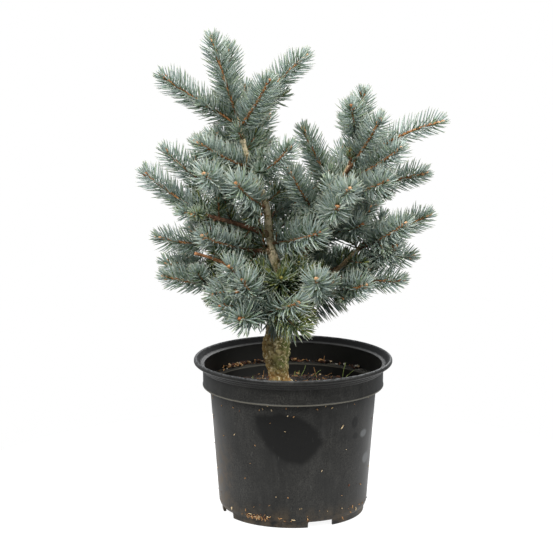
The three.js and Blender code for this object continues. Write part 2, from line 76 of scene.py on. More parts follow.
# name, limb, share of the limb's length, compass, rise, reach, newest shoot's length, side shoots (below 0:
# other hand first), roll of the side shoots out of the level, lift
MASSES = [
    ("leader_spray", "trunk", 1, -163, 72, 92, 72, 1, 60, 6),
    ("top_left_spray", "trunk", 0.965, -174, 33, 102, 70, 0, 0, 6),
    ("top_right_spray", "trunk", 0.93, 1, 51, 114, 64, 0, 0, -24),
    ("top_front_spray", "trunk", 0.955, -56, 45, 82, 62, 0, 0, 10),
    ("top_back_spray", "trunk", 0.91, 88, 40, 80, 58, 2, 0, 12),
    ("upper_left_spray", "trunk", 0.8, -150, 27, 75, 58, 0, 0, 12),
    ("upper_right_spray", "trunk", 0.765, -49, 35, 70, 56, 0, 0, 12),
    ("upper_back_spray", "trunk", 0.825, 100, 19, 96, 60, 4, 0, 12),
    ("left_crest_spray", "left_upper_bough", 1, -170, 42, 56, 48, 0, 0, 12),
    ("left_crest_front_spray", "left_upper_bough", 0.62, -108, 23, 78, 58, 0, 0, 12),
    ("left_outer_spray", "left_old_bough", 1, 178, 35, 87, 58, 0, 0, 16),
    ("front_upper_spray", "trunk", 0.65, -113, 26, 92, 60, 0, 0, 12),
    ("left_tip_spray", "left_middle_bough", 1, -176, 9, 56, 46, 0, 0, 12),
    ("left_front_spray", "left_middle_bough", 0.3, -134, 19, 83, 58, 1, 0, 12),
    ("left_under_spray", "left_low_bough", 0.82, 159, 16, 78, 60, 1, 0, 12),
    ("left_low_tip_spray", "left_low_bough", 1, -170, 11, 58, 50, 1, 0, 12),
    ("left_low_viewer_spray", "left_low_bough", 0.42, -108, 27, 88, 60, -2, -75, 12),
    ("front_tall_spray", "front_bough", 0.58, -112, 35, 82, 60, 1, -15, 12),
    ("front_low_spray", "front_bough", 1, -108, 6, 54, 52, -1, -180, 12),
    ("front_right_spray", "front_bough", 0.8, -54, 18, 74, 56, -1, -75, 12),
    ("middle_front_spray", "trunk", 0.52, -50, 16, 86, 62, 0, 0, 12),
    ("inner_old_spray", "trunk", 0.355, -87, 22, 56, 46, 2, 0, 12),
    ("leader_left_spray", "right_leader", 0.81, -166, 62, 82, 60, 0, 0, 8),
    ("leader_inner_spray", "right_leader", 0.6, -138, 52, 80, 60, 0, 0, 12),
    ("right_crown_spray", "right_leader", 1, -50, 75, 88, 60, 1, -45, 8),
    ("right_crown_front_spray", "right_leader", 0.94, -60, 44, 100, 60, 0, 0, 12),
    ("right_far_spray", "right_leader", 0.94, -10, 30, 126, 68, 0, 0, -30),
    ("right_viewer_spray", "right_leader", 0.87, -48, 28, 108, 60, 0, 0, 12),
    ("right_arm_spray", "right_leader", 0.835, -14, 12, 102, 60, 0, 0, 12),
    ("leader_front_spray", "right_leader", 0.78, -54, 17, 100, 60, 0, 0, 12),
    ("leader_viewer_spray", "right_leader", 0.7, -77, 21, 102, 60, 0, 0, 12),
    ("leader_low_front_spray", "right_leader", 0.625, -81, 17, 94, 60, 0, 0, 12),
    ("right_inner_spray", "right_leader", 0.46, -18, 30, 80, 54, 2, -30, 40),
    ("right_tip_spray", "right_bough", 1, -3, 24, 78, 56, 0, 0, 10),
    ("right_tip_front_spray", "right_bough", 0.92, -52, 27, 88, 60, 0, 0, 12),
    ("right_mid_spray", "right_bough", 0.83, -11, 2, 68, 54, 1, 0, 14),
    ("right_under_spray", "right_bough", 0.58, -18, -1, 82, 58, 0, 0, 16),
    ("right_low_tip_spray", "right_low_bough", 1, -53, 16, 52, 46, -1, -15, 12),
    ("right_low_viewer_spray", "right_low_bough", 0.7, -94, 26, 94, 60, 0, 0, 12),
    ("back_low_spray", "back_low_bough", 1, 85, 14, 66, 52, 4, 0, 12),
    ("back_left_spray", "trunk", 0.5, 138, 16, 132, 58, 5, 0, 16),
    ("back_right_spray", "right_leader", 0.5, 62, 10, 112, 58, 4, 0, 12),
    ("back_middle_spray", "trunk", 0.6, 62, 30, 88, 58, 3, 0, 12),
    ("back_lower_left_spray", "trunk", 0.4, 125, 4, 104, 56, 4, 0, 14),
    ("back_lower_right_spray", "right_leader", 0.2, 35, 4, 104, 56, 4, 0, 14),
    ("back_upper_left_spray", "trunk", 0.715, 142, 28, 98, 58, 4, 0, 12),
    ("back_crown_spray", "right_leader", 0.75, 78, 34, 88, 58, 4, 0, 12),
]

# The rule for shoots, the same as the part's: degrees, millimetres and shares.
OPEN = 46  # angle between a shoot and its side shoots
WHORL_STEP = 24  # from one pair of side shoots to the pair behind it
SIDE_SHARE = 0.82  # of the newest shoot's length
SHORTER_SIDE = 0.06  # lost of that share by each pair behind
SIDE_RISE = 5
SIDE_LIFT = 14  # gained from foot to tip
SIDE_BARE = 3  # with no needles
RETRIES = (0, 35, -35, 70)  # turns tried on a side shoot that meets another
SHOOT_STEP = 12  # from one point of a shoot's line to the next
BOUGH_STEP = 18  # and of a bough's
TWIG_GAP = 5  # that a side shoot keeps from other masses
LIMB_GAP = 7  # and from trunk and boughs

# The longest needles and how they stand.
NEEDLE = 21.5
NEEDLE_WIDTH = 1.7
NEEDLES_PER_MM = 2.8
NEEDLE_OPEN = 66  # angle between a shoot and its needles
TIP_OPEN = 31  # and round its bud
TIP_REACH = 15  # length of shoot over which they close in
NEEDLE_BEND = 0.27  # share of its length by which a needle bends towards the tip


def jitter(seed):
    """The same number between 0 and 1 for the same seed."""
    wave = math.sin(seed * 12.9898) * 43758.5453
    return wave - math.floor(wave)


def heading(compass, rise):
    """The direction of a compass and a rise."""
    level = math.cos(math.radians(rise))
    around = math.radians(compass)
    return np.array([math.cos(around) * level, math.sin(around) * level, math.sin(math.radians(rise))])


def arc(start, compass, rise, length, lift, steps):
    """A line that leaves at rise - lift / 2 and ends at rise + lift / 2."""
    points = [np.array(start, float)]
    for i in range(steps):
        turned = rise + lift * ((i + 0.5) / steps - 0.5)
        points.append(points[-1] + heading(compass, turned) * (length / steps))
    return np.array(points)


def lengths(points):
    """How far along a line each of its points is."""
    return np.concatenate([[0], np.cumsum(np.linalg.norm(np.diff(points, axis=0), axis=1))])


def along(points, distance):
    """The point and direction at a distance along a line."""
    sums = lengths(points)
    i = 0
    while i < len(points) - 2 and sums[i + 1] <= distance:
        i += 1
    way = points[i + 1] - points[i]
    return points[i] + way * (distance - sums[i]) / (sums[i + 1] - sums[i]), way / np.linalg.norm(way)


def steps_of(length, step):
    """How many steps a line of this length is made of."""
    return max(3, math.floor(length / step + 0.5))


def curve_at(rows, i, k):
    """A smooth curve through rows, at share k of the stretch that starts at row i."""
    a, b, c, d = (rows[min(max(n, 0), len(rows) - 1)] for n in (i - 1, i, i + 1, i + 2))
    return b + 0.5 * k * (c - a + k * (2 * a - 5 * b + 4 * c - d + k * (3 * b - a - 3 * c + d)))


def trunk_rings(per_stretch):
    """The trunk's line with its radii, with so many rings from one of its rows to the next."""
    rows = np.array(TRUNK, float)
    rings = [curve_at(rows, i, k / per_stretch) for i in range(len(rows) - 1) for k in range(per_stretch)]
    return np.array(rings + [rows[-1]])


def place_on(limb, share):
    """The point at a share of a limb's length."""
    return along(limb, share * lengths(limb)[-1])[0]


def grow_limbs():
    """The line of the trunk and of each bough, by name."""
    limbs = {"trunk": trunk_rings(2)[:, :3]}
    for name, parent, share, compass, rise, length, lift, _, _ in BOUGHS:
        steps = steps_of(length, BOUGH_STEP)
        limbs[name] = arc(place_on(limbs[parent], share), compass, rise, length, lift, steps)
    return limbs


def distances(points, starts, ends):
    """From each point to the nearest of the stretches between starts and ends."""
    runs = ends - starts
    offsets = points[:, None] - starts
    shares = np.clip((offsets * runs).sum(2) / (runs * runs).sum(1), 0, 1)
    return np.linalg.norm(offsets - shares[..., None] * runs, axis=2).min(1)


def is_clear(points, lines, gap):
    """Whether a line keeps its gap from all the others."""
    if not lines:
        return True
    samples = np.vstack([points[1:], (points[1:] + points[:-1]) / 2])
    starts = np.vstack([line[:-1] for line in lines])
    ends = np.vstack([line[1:] for line in lines])
    return bool((distances(samples, starts, ends) > gap).all())


def grow_side(mass, index, stem, i, turned):
    """One side shoot, of the pair at the foot of the newest shoot or of a pair behind it."""
    _, _, _, _, _, reach, newest, sides, roll, _ = mass
    pair = i // 2
    hand = (-1 if i % 2 else 1) * (1 if sides > 0 else -1)
    at = max(10, reach - newest + 5 - pair * WHORL_STEP + jitter(index * 31 + i) * 6)
    point, direction = along(stem, at)
    level = np.cross(direction, UP)
    level /= np.linalg.norm(level)
    upper = np.cross(level, direction)
    tilt = math.radians(roll + turned + (jitter(index * 17 + i * 5) - 0.5) * 40)
    opening = math.radians(OPEN + (jitter(index * 13 + i * 3 + 2) - 0.5) * 14)
    outward = level * math.cos(tilt) * hand + upper * math.sin(tilt)
    way = direction * math.cos(opening) + outward * math.sin(opening) + UP * 0.12
    way /= np.linalg.norm(way)
    compass = math.degrees(math.atan2(way[1], way[0]))
    rise = math.degrees(math.asin(way[2])) + SIDE_RISE
    length = newest * (SIDE_SHARE - SHORTER_SIDE * pair) * (0.9 + 0.2 * jitter(index * 11 + i))
    return arc(point, compass, rise, length, SIDE_LIFT, steps_of(length, SHOOT_STEP))


def grow_shoots(limbs):
    """Every stem first, then the side shoots that keep clear of the other masses and of the limbs."""
    shoots = []
    for index, (_, limb, share, compass, rise, reach, newest, _, _, lift) in enumerate(MASSES):
        line = arc(place_on(limbs[limb], share), compass, rise, reach, lift, steps_of(reach, SHOOT_STEP))
        old = reach - newest
        shoots.append({"mass": index, "line": line, "bare": max(4, old * 0.45), "old": old, "side": False})
    for index, mass in enumerate(MASSES):
        stem = shoots[index]["line"]
        for i in range(abs(mass[7])):
            others = [shoot["line"] for shoot in shoots if shoot["mass"] != index]
            for turned in RETRIES:
                line = grow_side(mass, index, stem, i, turned)
                if is_clear(line, others, TWIG_GAP) and is_clear(line[1:], list(limbs.values()), LIMB_GAP):
                    shoots.append({"mass": index, "line": line, "bare": SIDE_BARE, "old": 0, "side": True})
                    break
    return shoots


def chance(*seeds):
    """A source of random numbers that gives the same ones for the same seeds."""
    return np.random.default_rng([2711, *seeds])


def unit(ways):
    """Directions made one long."""
    return ways / np.linalg.norm(ways, axis=-1, keepdims=True)


def eased(low, high, values):
    """0 below low, 1 above high and a smooth rise between them."""
    share = np.clip((values - low) / (high - low), 0, 1)
    return share * share * (3 - 2 * share)


def hashed(cells, seed):
    """A number between 0 and 1 for each cell of a grid."""
    mixed = cells[..., 0] * 73856093 + cells[..., 1] * 19349663 + cells[..., 2] * 83492791 + seed * 2654435
    mixed = (mixed ^ (mixed >> 13)) & 0x7FFFFFFF
    mixed = (mixed * 1274126177) & 0x7FFFFFFF
    return ((mixed ^ (mixed >> 15)) & 0xFFFF) / 65535


def lumps(points, size, seed, octaves=3):
    """Smooth noise between about -1 and 1 whose lumps are of the given size."""
    total, height, weight = 0, 1, 0
    for octave in range(octaves):
        scaled = points / (size / 2**octave)
        cells = np.floor(scaled).astype(np.int64)
        share = scaled - cells
        share = share * share * (3 - 2 * share)
        for corner in np.ndindex(2, 2, 2):
            near = np.prod(np.where(corner, share, 1 - share), axis=-1)
            total = total + height * near * (2 * hashed(cells + np.array(corner), seed + octave) - 1)
        weight += height
        height *= 0.5
    return total / weight * 1.6


def plates(points, size, seed):
    """Distances to the nearest and the second nearest of seeds scattered about one to a cell, in cells."""
    scaled = points / size
    cells = np.floor(scaled).astype(np.int64)
    gaps = []
    for offset in np.ndindex(3, 3, 3):
        cell = cells + np.array(offset) - 1
        seat = cell + np.stack([hashed(cell, seed + k) for k in range(3)], axis=-1)
        gaps.append(np.linalg.norm(scaled - seat, axis=-1))
    nearest = np.sort(np.array(gaps), axis=0)
    return nearest[0], nearest[1]


def read_off(rows, sums, at):
    """Rows read off at distances along a line, where sums are the distances of the rows themselves."""
    return np.column_stack([np.interp(at, sums, rows[:, axis]) for axis in range(3)])


def smoothed(points, step):
    """The same line as an even curve with a point at each step."""
    fine = [curve_at(points, i, k / 6) for i in range(len(points) - 1) for k in range(6)]
    fine = np.array(fine + [points[-1]])
    sums = lengths(fine)
    at = np.linspace(0, sums[-1], max(3, round(sums[-1] / step) + 1))
    return read_off(fine, sums, at)


def framed(points, first=None):
    """The direction of a line at each point, from first if that is given, and two untwisted ways across it."""
    ways = unit(np.gradient(points, axis=0))
    if first is not None:
        ways[0] = first
    across = np.array([0.0, 1.0, 0.0]) if abs(ways[0][0]) > 0.8 else np.array([1.0, 0.0, 0.0])
    sides = []
    for way in ways:
        across = unit(across - way * across.dot(way))
        sides.append(across)
    sides = np.array(sides)
    return ways, sides, np.cross(ways, sides)


def round_about(way, side, turn):
    """The way across a line at a turn round it from its level side."""
    return side * math.cos(turn) + np.cross(side, way) * math.sin(turn)


class Forms:
    """Forms of one kind, gathered to be joined into one piece."""

    def __init__(self):
        self.vertices = []
        self.corners = []
        self.sizes = []
        self.finishes = []
        self.count = 0

    def add(self, vertices, *faces):
        """Vertices, and pairs of faces and their finish, or finishes."""
        for rows, finish in faces:
            rows = np.asarray(rows)
            self.corners.append((rows + self.count).ravel())
            self.sizes.append(np.full(len(rows), rows.shape[1]))
            self.finishes.append(np.broadcast_to(finish, len(rows)))
        self.vertices.append(np.asarray(vertices))
        self.count += len(vertices)

    def piece(self, name, materials, slot, replaced=(), smooth=True):
        """The joined piece, which rides on the part and stands for the nodes it replaces."""
        vertices = np.vstack(self.vertices) * MM
        corners, sizes = np.concatenate(self.corners), np.concatenate(self.sizes)
        mesh = bpy.data.meshes.new(name)
        mesh.vertices.add(len(vertices))
        mesh.vertices.foreach_set("co", vertices.astype(np.float32).ravel())
        mesh.loops.add(len(corners))
        mesh.loops.foreach_set("vertex_index", corners.astype(np.int32))
        mesh.polygons.add(len(sizes))
        mesh.polygons.foreach_set("loop_start", (np.cumsum(sizes) - sizes).astype(np.int32))
        for material in materials:
            mesh.materials.append(material)
        mesh.polygons.foreach_set("material_index", np.concatenate(self.finishes).astype(np.int32))
        mesh.polygons.foreach_set("use_smooth", np.full(len(sizes), smooth))
        mesh.update(calc_edges=True)
        mesh.validate()
        made = bpy.data.objects.new(name, mesh)
        bpy.context.scene.collection.objects.link(made)
        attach(made, "root")
        if replaced:
            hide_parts(*replaced)
        return made


def sleeve(rings, sides):
    """Faces of a closed tube of that many rings: its walls and its two ends."""
    around = np.arange(sides)
    low = (np.arange(rings - 1)[:, None] * sides + around).ravel()
    low_next = (np.arange(rings - 1)[:, None] * sides + (around + 1) % sides).ravel()
    walls = np.column_stack([low, low_next, low_next + sides, low + sides])
    return walls, around[None, ::-1], around[None] + (rings - 1) * sides


def tube(points, radii, sides, relief=None, first=None):
    """The skin of a limb; relief says how far each place stands proud, and first is the way it sets out."""
    _, across, beside = framed(points, first)
    turns = np.arange(sides) * 2 * math.pi / sides
    outward = across[:, None] * np.cos(turns)[:, None] + beside[:, None] * np.sin(turns)[:, None]
    skin = points[:, None] + outward * np.asarray(radii)[:, None, None]
    if relief is not None:
        skin = skin + outward * relief(skin)[..., None]
    return skin.reshape(-1, 3)


# One needle along +X of length 1 and width 1: three four-sided rings, then a point.
RING_SHARES = np.array([0.0, 0.4, 0.86])
RING_WIDTHS = np.array([0.55, 1.0, 0.66])
NEEDLE_WALLS, NEEDLE_FOOT, _ = sleeve(3, 4)
NEEDLE_POINT = np.array([[8 + k, 8 + (k + 1) % 4, 12] for k in range(4)])
NEEDLE_VERTICES = 13
# Towards its foot a needle is darker: painted shade, for the shade deep along the twig. The tone there for
# each of the first eight.
SHADED_FOOT_TONES = np.array([2, 0, 5, 5, 3, 6, 6, 6])


def add_needles(forms, roots, ways, bends, reach, width, tones):
    """Needles from roots along ways, each bent towards bends."""
    count = len(roots)
    side = unit(np.cross(ways, bends + 1e-6))
    upper = np.cross(side, ways)
    rings = []
    for share, wide in zip(RING_SHARES, RING_WIDTHS):
        bent = bends * (reach * NEEDLE_BEND * share * share)[:, None]
        middle = roots + ways * (reach * share)[:, None] + bent
        for across, thick in ((side, 0.5), (upper, 0.42), (side, -0.5), (upper, -0.42)):
            rings.append(middle + across * (width * wide * thick)[:, None])
    rings.append(roots + ways * reach[:, None] + bends * (reach * NEEDLE_BEND)[:, None])
    vertices = np.stack(rings, axis=1).reshape(-1, 3)
    firsts = (np.arange(count) * NEEDLE_VERTICES)[:, None, None]
    walls = (NEEDLE_WALLS + firsts).reshape(-1, 4)
    feet = (NEEDLE_FOOT + firsts).reshape(-1, 4)
    points = (NEEDLE_POINT + firsts).reshape(-1, 3)
    # Painted shade: the lower walls and the foot of each needle take a darker tone.
    shaded_foot_tones = SHADED_FOOT_TONES[tones]
    wall_tones = np.stack([shaded_foot_tones] * 4 + [tones] * 4, axis=1).ravel()
    forms.add(vertices, (walls, wall_tones), (feet, shaded_foot_tones), (points, TIP_TONE))


def egg(middle, way, reach, radius, rings=5, sides=8):
    """The skin and faces of a pointed oval bud."""
    shares = np.linspace(0, 1, rings + 2)[1:-1]
    points = middle + way * (shares * reach)[:, None]
    radii = radius * np.sin(np.pi * shares**0.8) ** 0.75
    line = np.vstack([middle, points, middle + way * reach])
    skin = tube(line, np.concatenate([[0.25 * radius], radii, [0.12 * radius]]), sides)
    return skin, sleeve(rings + 2, sides)


def linear(colour):
    """The linear colour of an sRGB hex value."""
    parts = [int(colour[i : i + 2], 16) / 255 for i in (1, 3, 5)]
    return tuple(p / 12.92 if p <= 0.04045 else ((p + 0.055) / 1.055) ** 2.4 for p in parts) + (1.0,)


def per(size):
    """The scale of a pattern whose lumps measure this many millimetres."""
    return 1000 / size


def new_finish(name):
    """A material whose node tree is still empty."""
    material = bpy.data.materials.new(name)
    material.use_nodes = True
    material.node_tree.nodes.clear()
    return material, material.node_tree


def add(tree, kind, inputs=None, **settings):
    """Adds a node with its settings, and gives each input a value or links it to another node's output."""
    made = tree.nodes.new(kind)
    for name, value in settings.items():
        setattr(made, name, value)
    for name, value in (inputs or {}).items():
        if isinstance(value, bpy.types.NodeSocket):
            tree.links.new(value, made.inputs[name])
        else:
            made.inputs[name].default_value = value
    return made


# Spruce needles under their pale wax bloom: the wax scatters light, so they look matt and chalky. The tone
# follows how thick the wax is and how old the needle is, and the darker tones dealt low down and within the
# crown are partly painted shade.
NEEDLE_TONES = {
    "frosted_blue": "#A9B6AE",
    "pale_blue": "#BCC5BC",
    "steel_blue": "#8C9B96",
    "grey_green": "#909F8E",
    "fresh_green": "#99A88A",
    "sea_green": "#788A78",
    "old_green": "#4B5A38",
    "moss_green": "#7F8549",
    "horny_tip": "#ABB09E",
}
TONES = list(NEEDLE_TONES)
TIP_TONE = TONES.index("horny_tip")


def waxed_needle(name, colour):
    """A needle of one tone: matt with wax, over a skin that is only slightly glossy."""
    material, tree = new_finish(name + "_waxed_needle")
    bloom = {"Base Color": linear(colour), "Roughness": 0.58, "IOR": 1.45, "Specular IOR Level": 0.35}
    surface = add(tree, "ShaderNodeBsdfPrincipled", bloom)
    add(tree, "ShaderNodeOutputMaterial", {"Surface": surface.outputs[0]})
    return material


def bud_scales(name, colour):
    """Bud scales: thin, dry and papery, with a little resin, so they are warm in tone and slightly glossy."""
    material, tree = new_finish(name + "_bud_scales")
    scales = {"Base Color": linear(colour), "Roughness": 0.48, "IOR": 1.5}
    surface = add(tree, "ShaderNodeBsdfPrincipled", scales)
    add(tree, "ShaderNodeOutputMaterial", {"Surface": surface.outputs[0]})
    return material


EVEN = (1, 1, 1)  # the stretch of a pattern whose lumps are as tall as they are wide


def patchy(tree, place, patterns):
    """Masks of noise: the size of its lumps in millimetres, the levels it is cut between, and its stretch."""
    masks = {}
    for name, (size, low, high, stretch) in patterns.items():
        spot = add(tree, "ShaderNodeMapping", {"Vector": place, "Scale": stretch})
        waves = {"Vector": spot.outputs[0], "Scale": per(size), "Detail": 4.0, "Roughness": 0.6}
        waves = add(tree, "ShaderNodeTexNoise", waves)
        cut = add(tree, "ShaderNodeMapRange", {"Value": waves.outputs[0], "From Min": low, "From Max": high})
        masks[name] = cut.outputs[0]
    return masks


def zoned(tree, place, zones):
    """Masks that rise from 0 to 1 between two distances in millimetres along X, Y or Z."""
    axes = add(tree, "ShaderNodeSeparateXYZ", {"Vector": place})
    masks = {}
    for name, (axis, low, high) in zones.items():
        limits = {"Value": axes.outputs[axis], "From Min": low * MM, "From Max": high * MM}
        masks[name] = add(tree, "ShaderNodeMapRange", limits, interpolation_type="SMOOTHSTEP").outputs[0]
    return masks


def layered(tree, masks, colour, roughness, layers):
    """A ground under layers, each with its colour, roughness, share and the masks that it keeps to."""
    colour = linear(colour)
    for tint, matt, share, kept in layers:
        for name in kept:
            share = add(tree, "ShaderNodeMath", {0: masks[name], 1: share}, operation="MULTIPLY").outputs[0]
        over = {0: share, 6: colour, 7: linear(tint)}
        colour = add(tree, "ShaderNodeMix", over, data_type="RGBA").outputs[2]
        if matt != roughness:
            rough = {0: share, 2: roughness, 3: matt}
            roughness = add(tree, "ShaderNodeMix", rough, data_type="FLOAT").outputs[0]
    return colour, roughness


def surfaced(tree, place, colour, roughness, grain, relief, **gloss):
    """The shader over a fine grain: the grain's size and how high it stands, in millimetres."""
    fine = add(tree, "ShaderNodeTexNoise", {"Vector": place, "Scale": per(grain), "Detail": 4.0})
    bump = add(tree, "ShaderNodeBump", {"Strength": 0.6, "Distance": relief * MM, "Height": fine.outputs[0]})
    inputs = {"Base Color": colour, "Roughness": roughness, "Normal": bump.outputs[0], **gloss}
    surface = add(tree, "ShaderNodeBsdfPrincipled", inputs)
    add(tree, "ShaderNodeOutputMaterial", {"Surface": surface.outputs[0]})


def mottled(name, colours, sizes, roughness, relief):
    """A natural broken surface: a ground, patches and specks, and the sizes of patches, specks and grain."""
    material, tree = new_finish(name)
    place = add(tree, "ShaderNodeTexCoord").outputs["Object"]
    patterns = {"patches": (sizes[0], 0.42, 0.6, EVEN), "specks": (sizes[1], 0.56, 0.68, EVEN)}
    masks = patchy(tree, place, patterns)
    layers = [(colours[1], roughness, 1.0, ["patches"]), (colours[2], roughness, 1.0, ["specks"])]
    colour, _ = layered(tree, masks, colours[0], roughness, layers)
    surfaced(tree, place, colour, roughness, sizes[2], relief, IOR=1.5)
    return material


def scaly_spruce_bark():
    """Old spruce bark: dry thin scales that lift at their edges, matt, with pale flakes, dark pits where they
    fell, green algae on the damp side, an orange-tan foot where soil was washed off, and smooth pale tan bark
    on the thin stem above, whose paleness is partly painted light."""
    material, tree = new_finish("scaly_spruce_bark")
    place = add(tree, "ShaderNodeTexCoord").outputs["Object"]
    masks = patchy(tree, place, {
        "shade": (9, 0.42, 0.58, EVEN), "light": (6, 0.5, 0.6, EVEN), "scars": (7, 0.54, 0.64, EVEN),
        "algae": (13, 0.4, 0.54, EVEN), "wash": (18, 0.3, 0.55, EVEN), "flakes": (3.6, 0.56, 0.63, EVEN),
        "fallen": (8, 0.42, 0.54, EVEN), "blotches": (4, 0.5, 0.6, EVEN),
    })
    masks |= zoned(tree, place, {
        "upper": ("Z", 256, 300), "dry": ("X", -22, -33), "damp": ("X", -30, -10), "foot": ("Z", 176, 156),
        "stem": ("Z", 250, 275),
    })
    scales = add(tree, "ShaderNodeTexVoronoi", {"Vector": place, "Scale": per(4.2), "Randomness": 1.0})
    pits = {"Value": scales.outputs["Distance"], "From Min": 0.2, "From Max": 0.08}
    masks["pits"] = add(tree, "ShaderNodeMapRange", pits).outputs[0]
    layers = [
        ("#5F4F2E", 0.9, 1.0, ["shade"]), ("#BBAA78", 0.9, 1.0, ["light"]),
        # The pale layer on the upper stem is partly its own bark and partly painted light.
        ("#97753A", 0.9, 0.8, ["dry", "wash"]), ("#EBDAB8", 0.8, 0.92, ["upper"]),
        ("#8E7048", 0.82, 1.0, ["stem", "scars"]),
        ("#636A34", 0.9, 1.0, ["damp", "algae"]), ("#66683A", 0.9, 0.62, ["stem", "blotches"]),
        ("#97713A", 0.85, 1.0, ["foot", "wash"]), ("#DACBA0", 0.85, 1.0, ["flakes"]),
        ("#2C2112", 0.95, 1.0, ["fallen", "pits"]),
    ]
    colour, roughness = layered(tree, masks, "#8A7A4E", 0.88, layers)
    surfaced(tree, place, colour, roughness, 1.3, 0.5, IOR=1.5)
    return material


# Marks on the pot's wall: compass and height of the middle, then half the width and half the height.
WET_DROPS = [(-41.8, 120, 6.1, 8), (-40.4, 103.5, 5.4, 4.4)]
CHALK_SMUDGES = [(-30, 103, 8, 5), (-23, 71, 10, 7)]
# The washed patch is what three round marks share, with one sharp corner: compass, height and radius.
WASHED = [(-81.4, 135, 59), (-101.2, 82, 58), (-97.5, 122, 51)]
WALL_RADIUS = 93  # of the middle of the wall
WANDER = 0.008  # metres by which the patch's edge wanders


def flattened(tree, place):
    """The wall laid flat: how far round it a place is, and how high."""
    axes = add(tree, "ShaderNodeSeparateXYZ", {"Vector": place})
    turn = add(tree, "ShaderNodeMath", {0: axes.outputs["Y"], 1: axes.outputs["X"]}, operation="ARCTAN2")
    girth = add(tree, "ShaderNodeMath", {0: turn.outputs[0], 1: WALL_RADIUS * MM}, operation="MULTIPLY")
    return add(tree, "ShaderNodeCombineXYZ", {"X": girth.outputs[0], "Y": axes.outputs["Z"]}).outputs[0]


def washed_patch(tree, place, flat):
    """A mask of the washed patch, whose edge wanders a little."""
    wander = add(tree, "ShaderNodeTexNoise", {"Vector": place, "Scale": per(14), "Detail": 2.0})
    amount = {0: wander.outputs["Color"], 1: (WANDER, WANDER, 0), 2: flat}
    spot = add(tree, "ShaderNodeVectorMath", amount, operation="MULTIPLY_ADD")
    furthest = -1.0
    for compass, height, radius in WASHED:
        middle = (math.radians(compass) * WALL_RADIUS * MM + WANDER / 2, height * MM + WANDER / 2, 0)
        gap = add(tree, "ShaderNodeVectorMath", {0: spot.outputs[0], 1: middle}, operation="DISTANCE")
        past = add(tree, "ShaderNodeMath", {0: gap.outputs["Value"], 1: radius * MM}, operation="SUBTRACT")
        past = {0: past.outputs[0], 1: furthest}
        furthest = add(tree, "ShaderNodeMath", past, operation="MAXIMUM").outputs[0]
    soft = {"Value": furthest, "From Min": 0.003, "From Max": -0.005}
    return add(tree, "ShaderNodeMapRange", soft, interpolation_type="SMOOTHSTEP").outputs[0]


def soft_marks(tree, flat, marks):
    """A mask of oval marks with soft edges."""
    most = 0.0
    for compass, height, half_width, half_height in marks:
        middle = (math.radians(compass) * WALL_RADIUS * MM, height * MM, 0)
        away = add(tree, "ShaderNodeVectorMath", {0: flat, 1: middle}, operation="SUBTRACT")
        size = (half_width * MM, half_height * MM, 1)
        share = add(tree, "ShaderNodeVectorMath", {0: away.outputs[0], 1: size}, operation="DIVIDE")
        reach = add(tree, "ShaderNodeVectorMath", {0: share.outputs[0]}, operation="LENGTH")
        fade = {"Value": reach.outputs["Value"], "From Min": 1.15, "From Max": 0.55}
        fade = add(tree, "ShaderNodeMapRange", fade, interpolation_type="SMOOTHSTEP")
        most = add(tree, "ShaderNodeMath", {0: fade.outputs[0], 1: most}, operation="MAXIMUM").outputs[0]
    return most


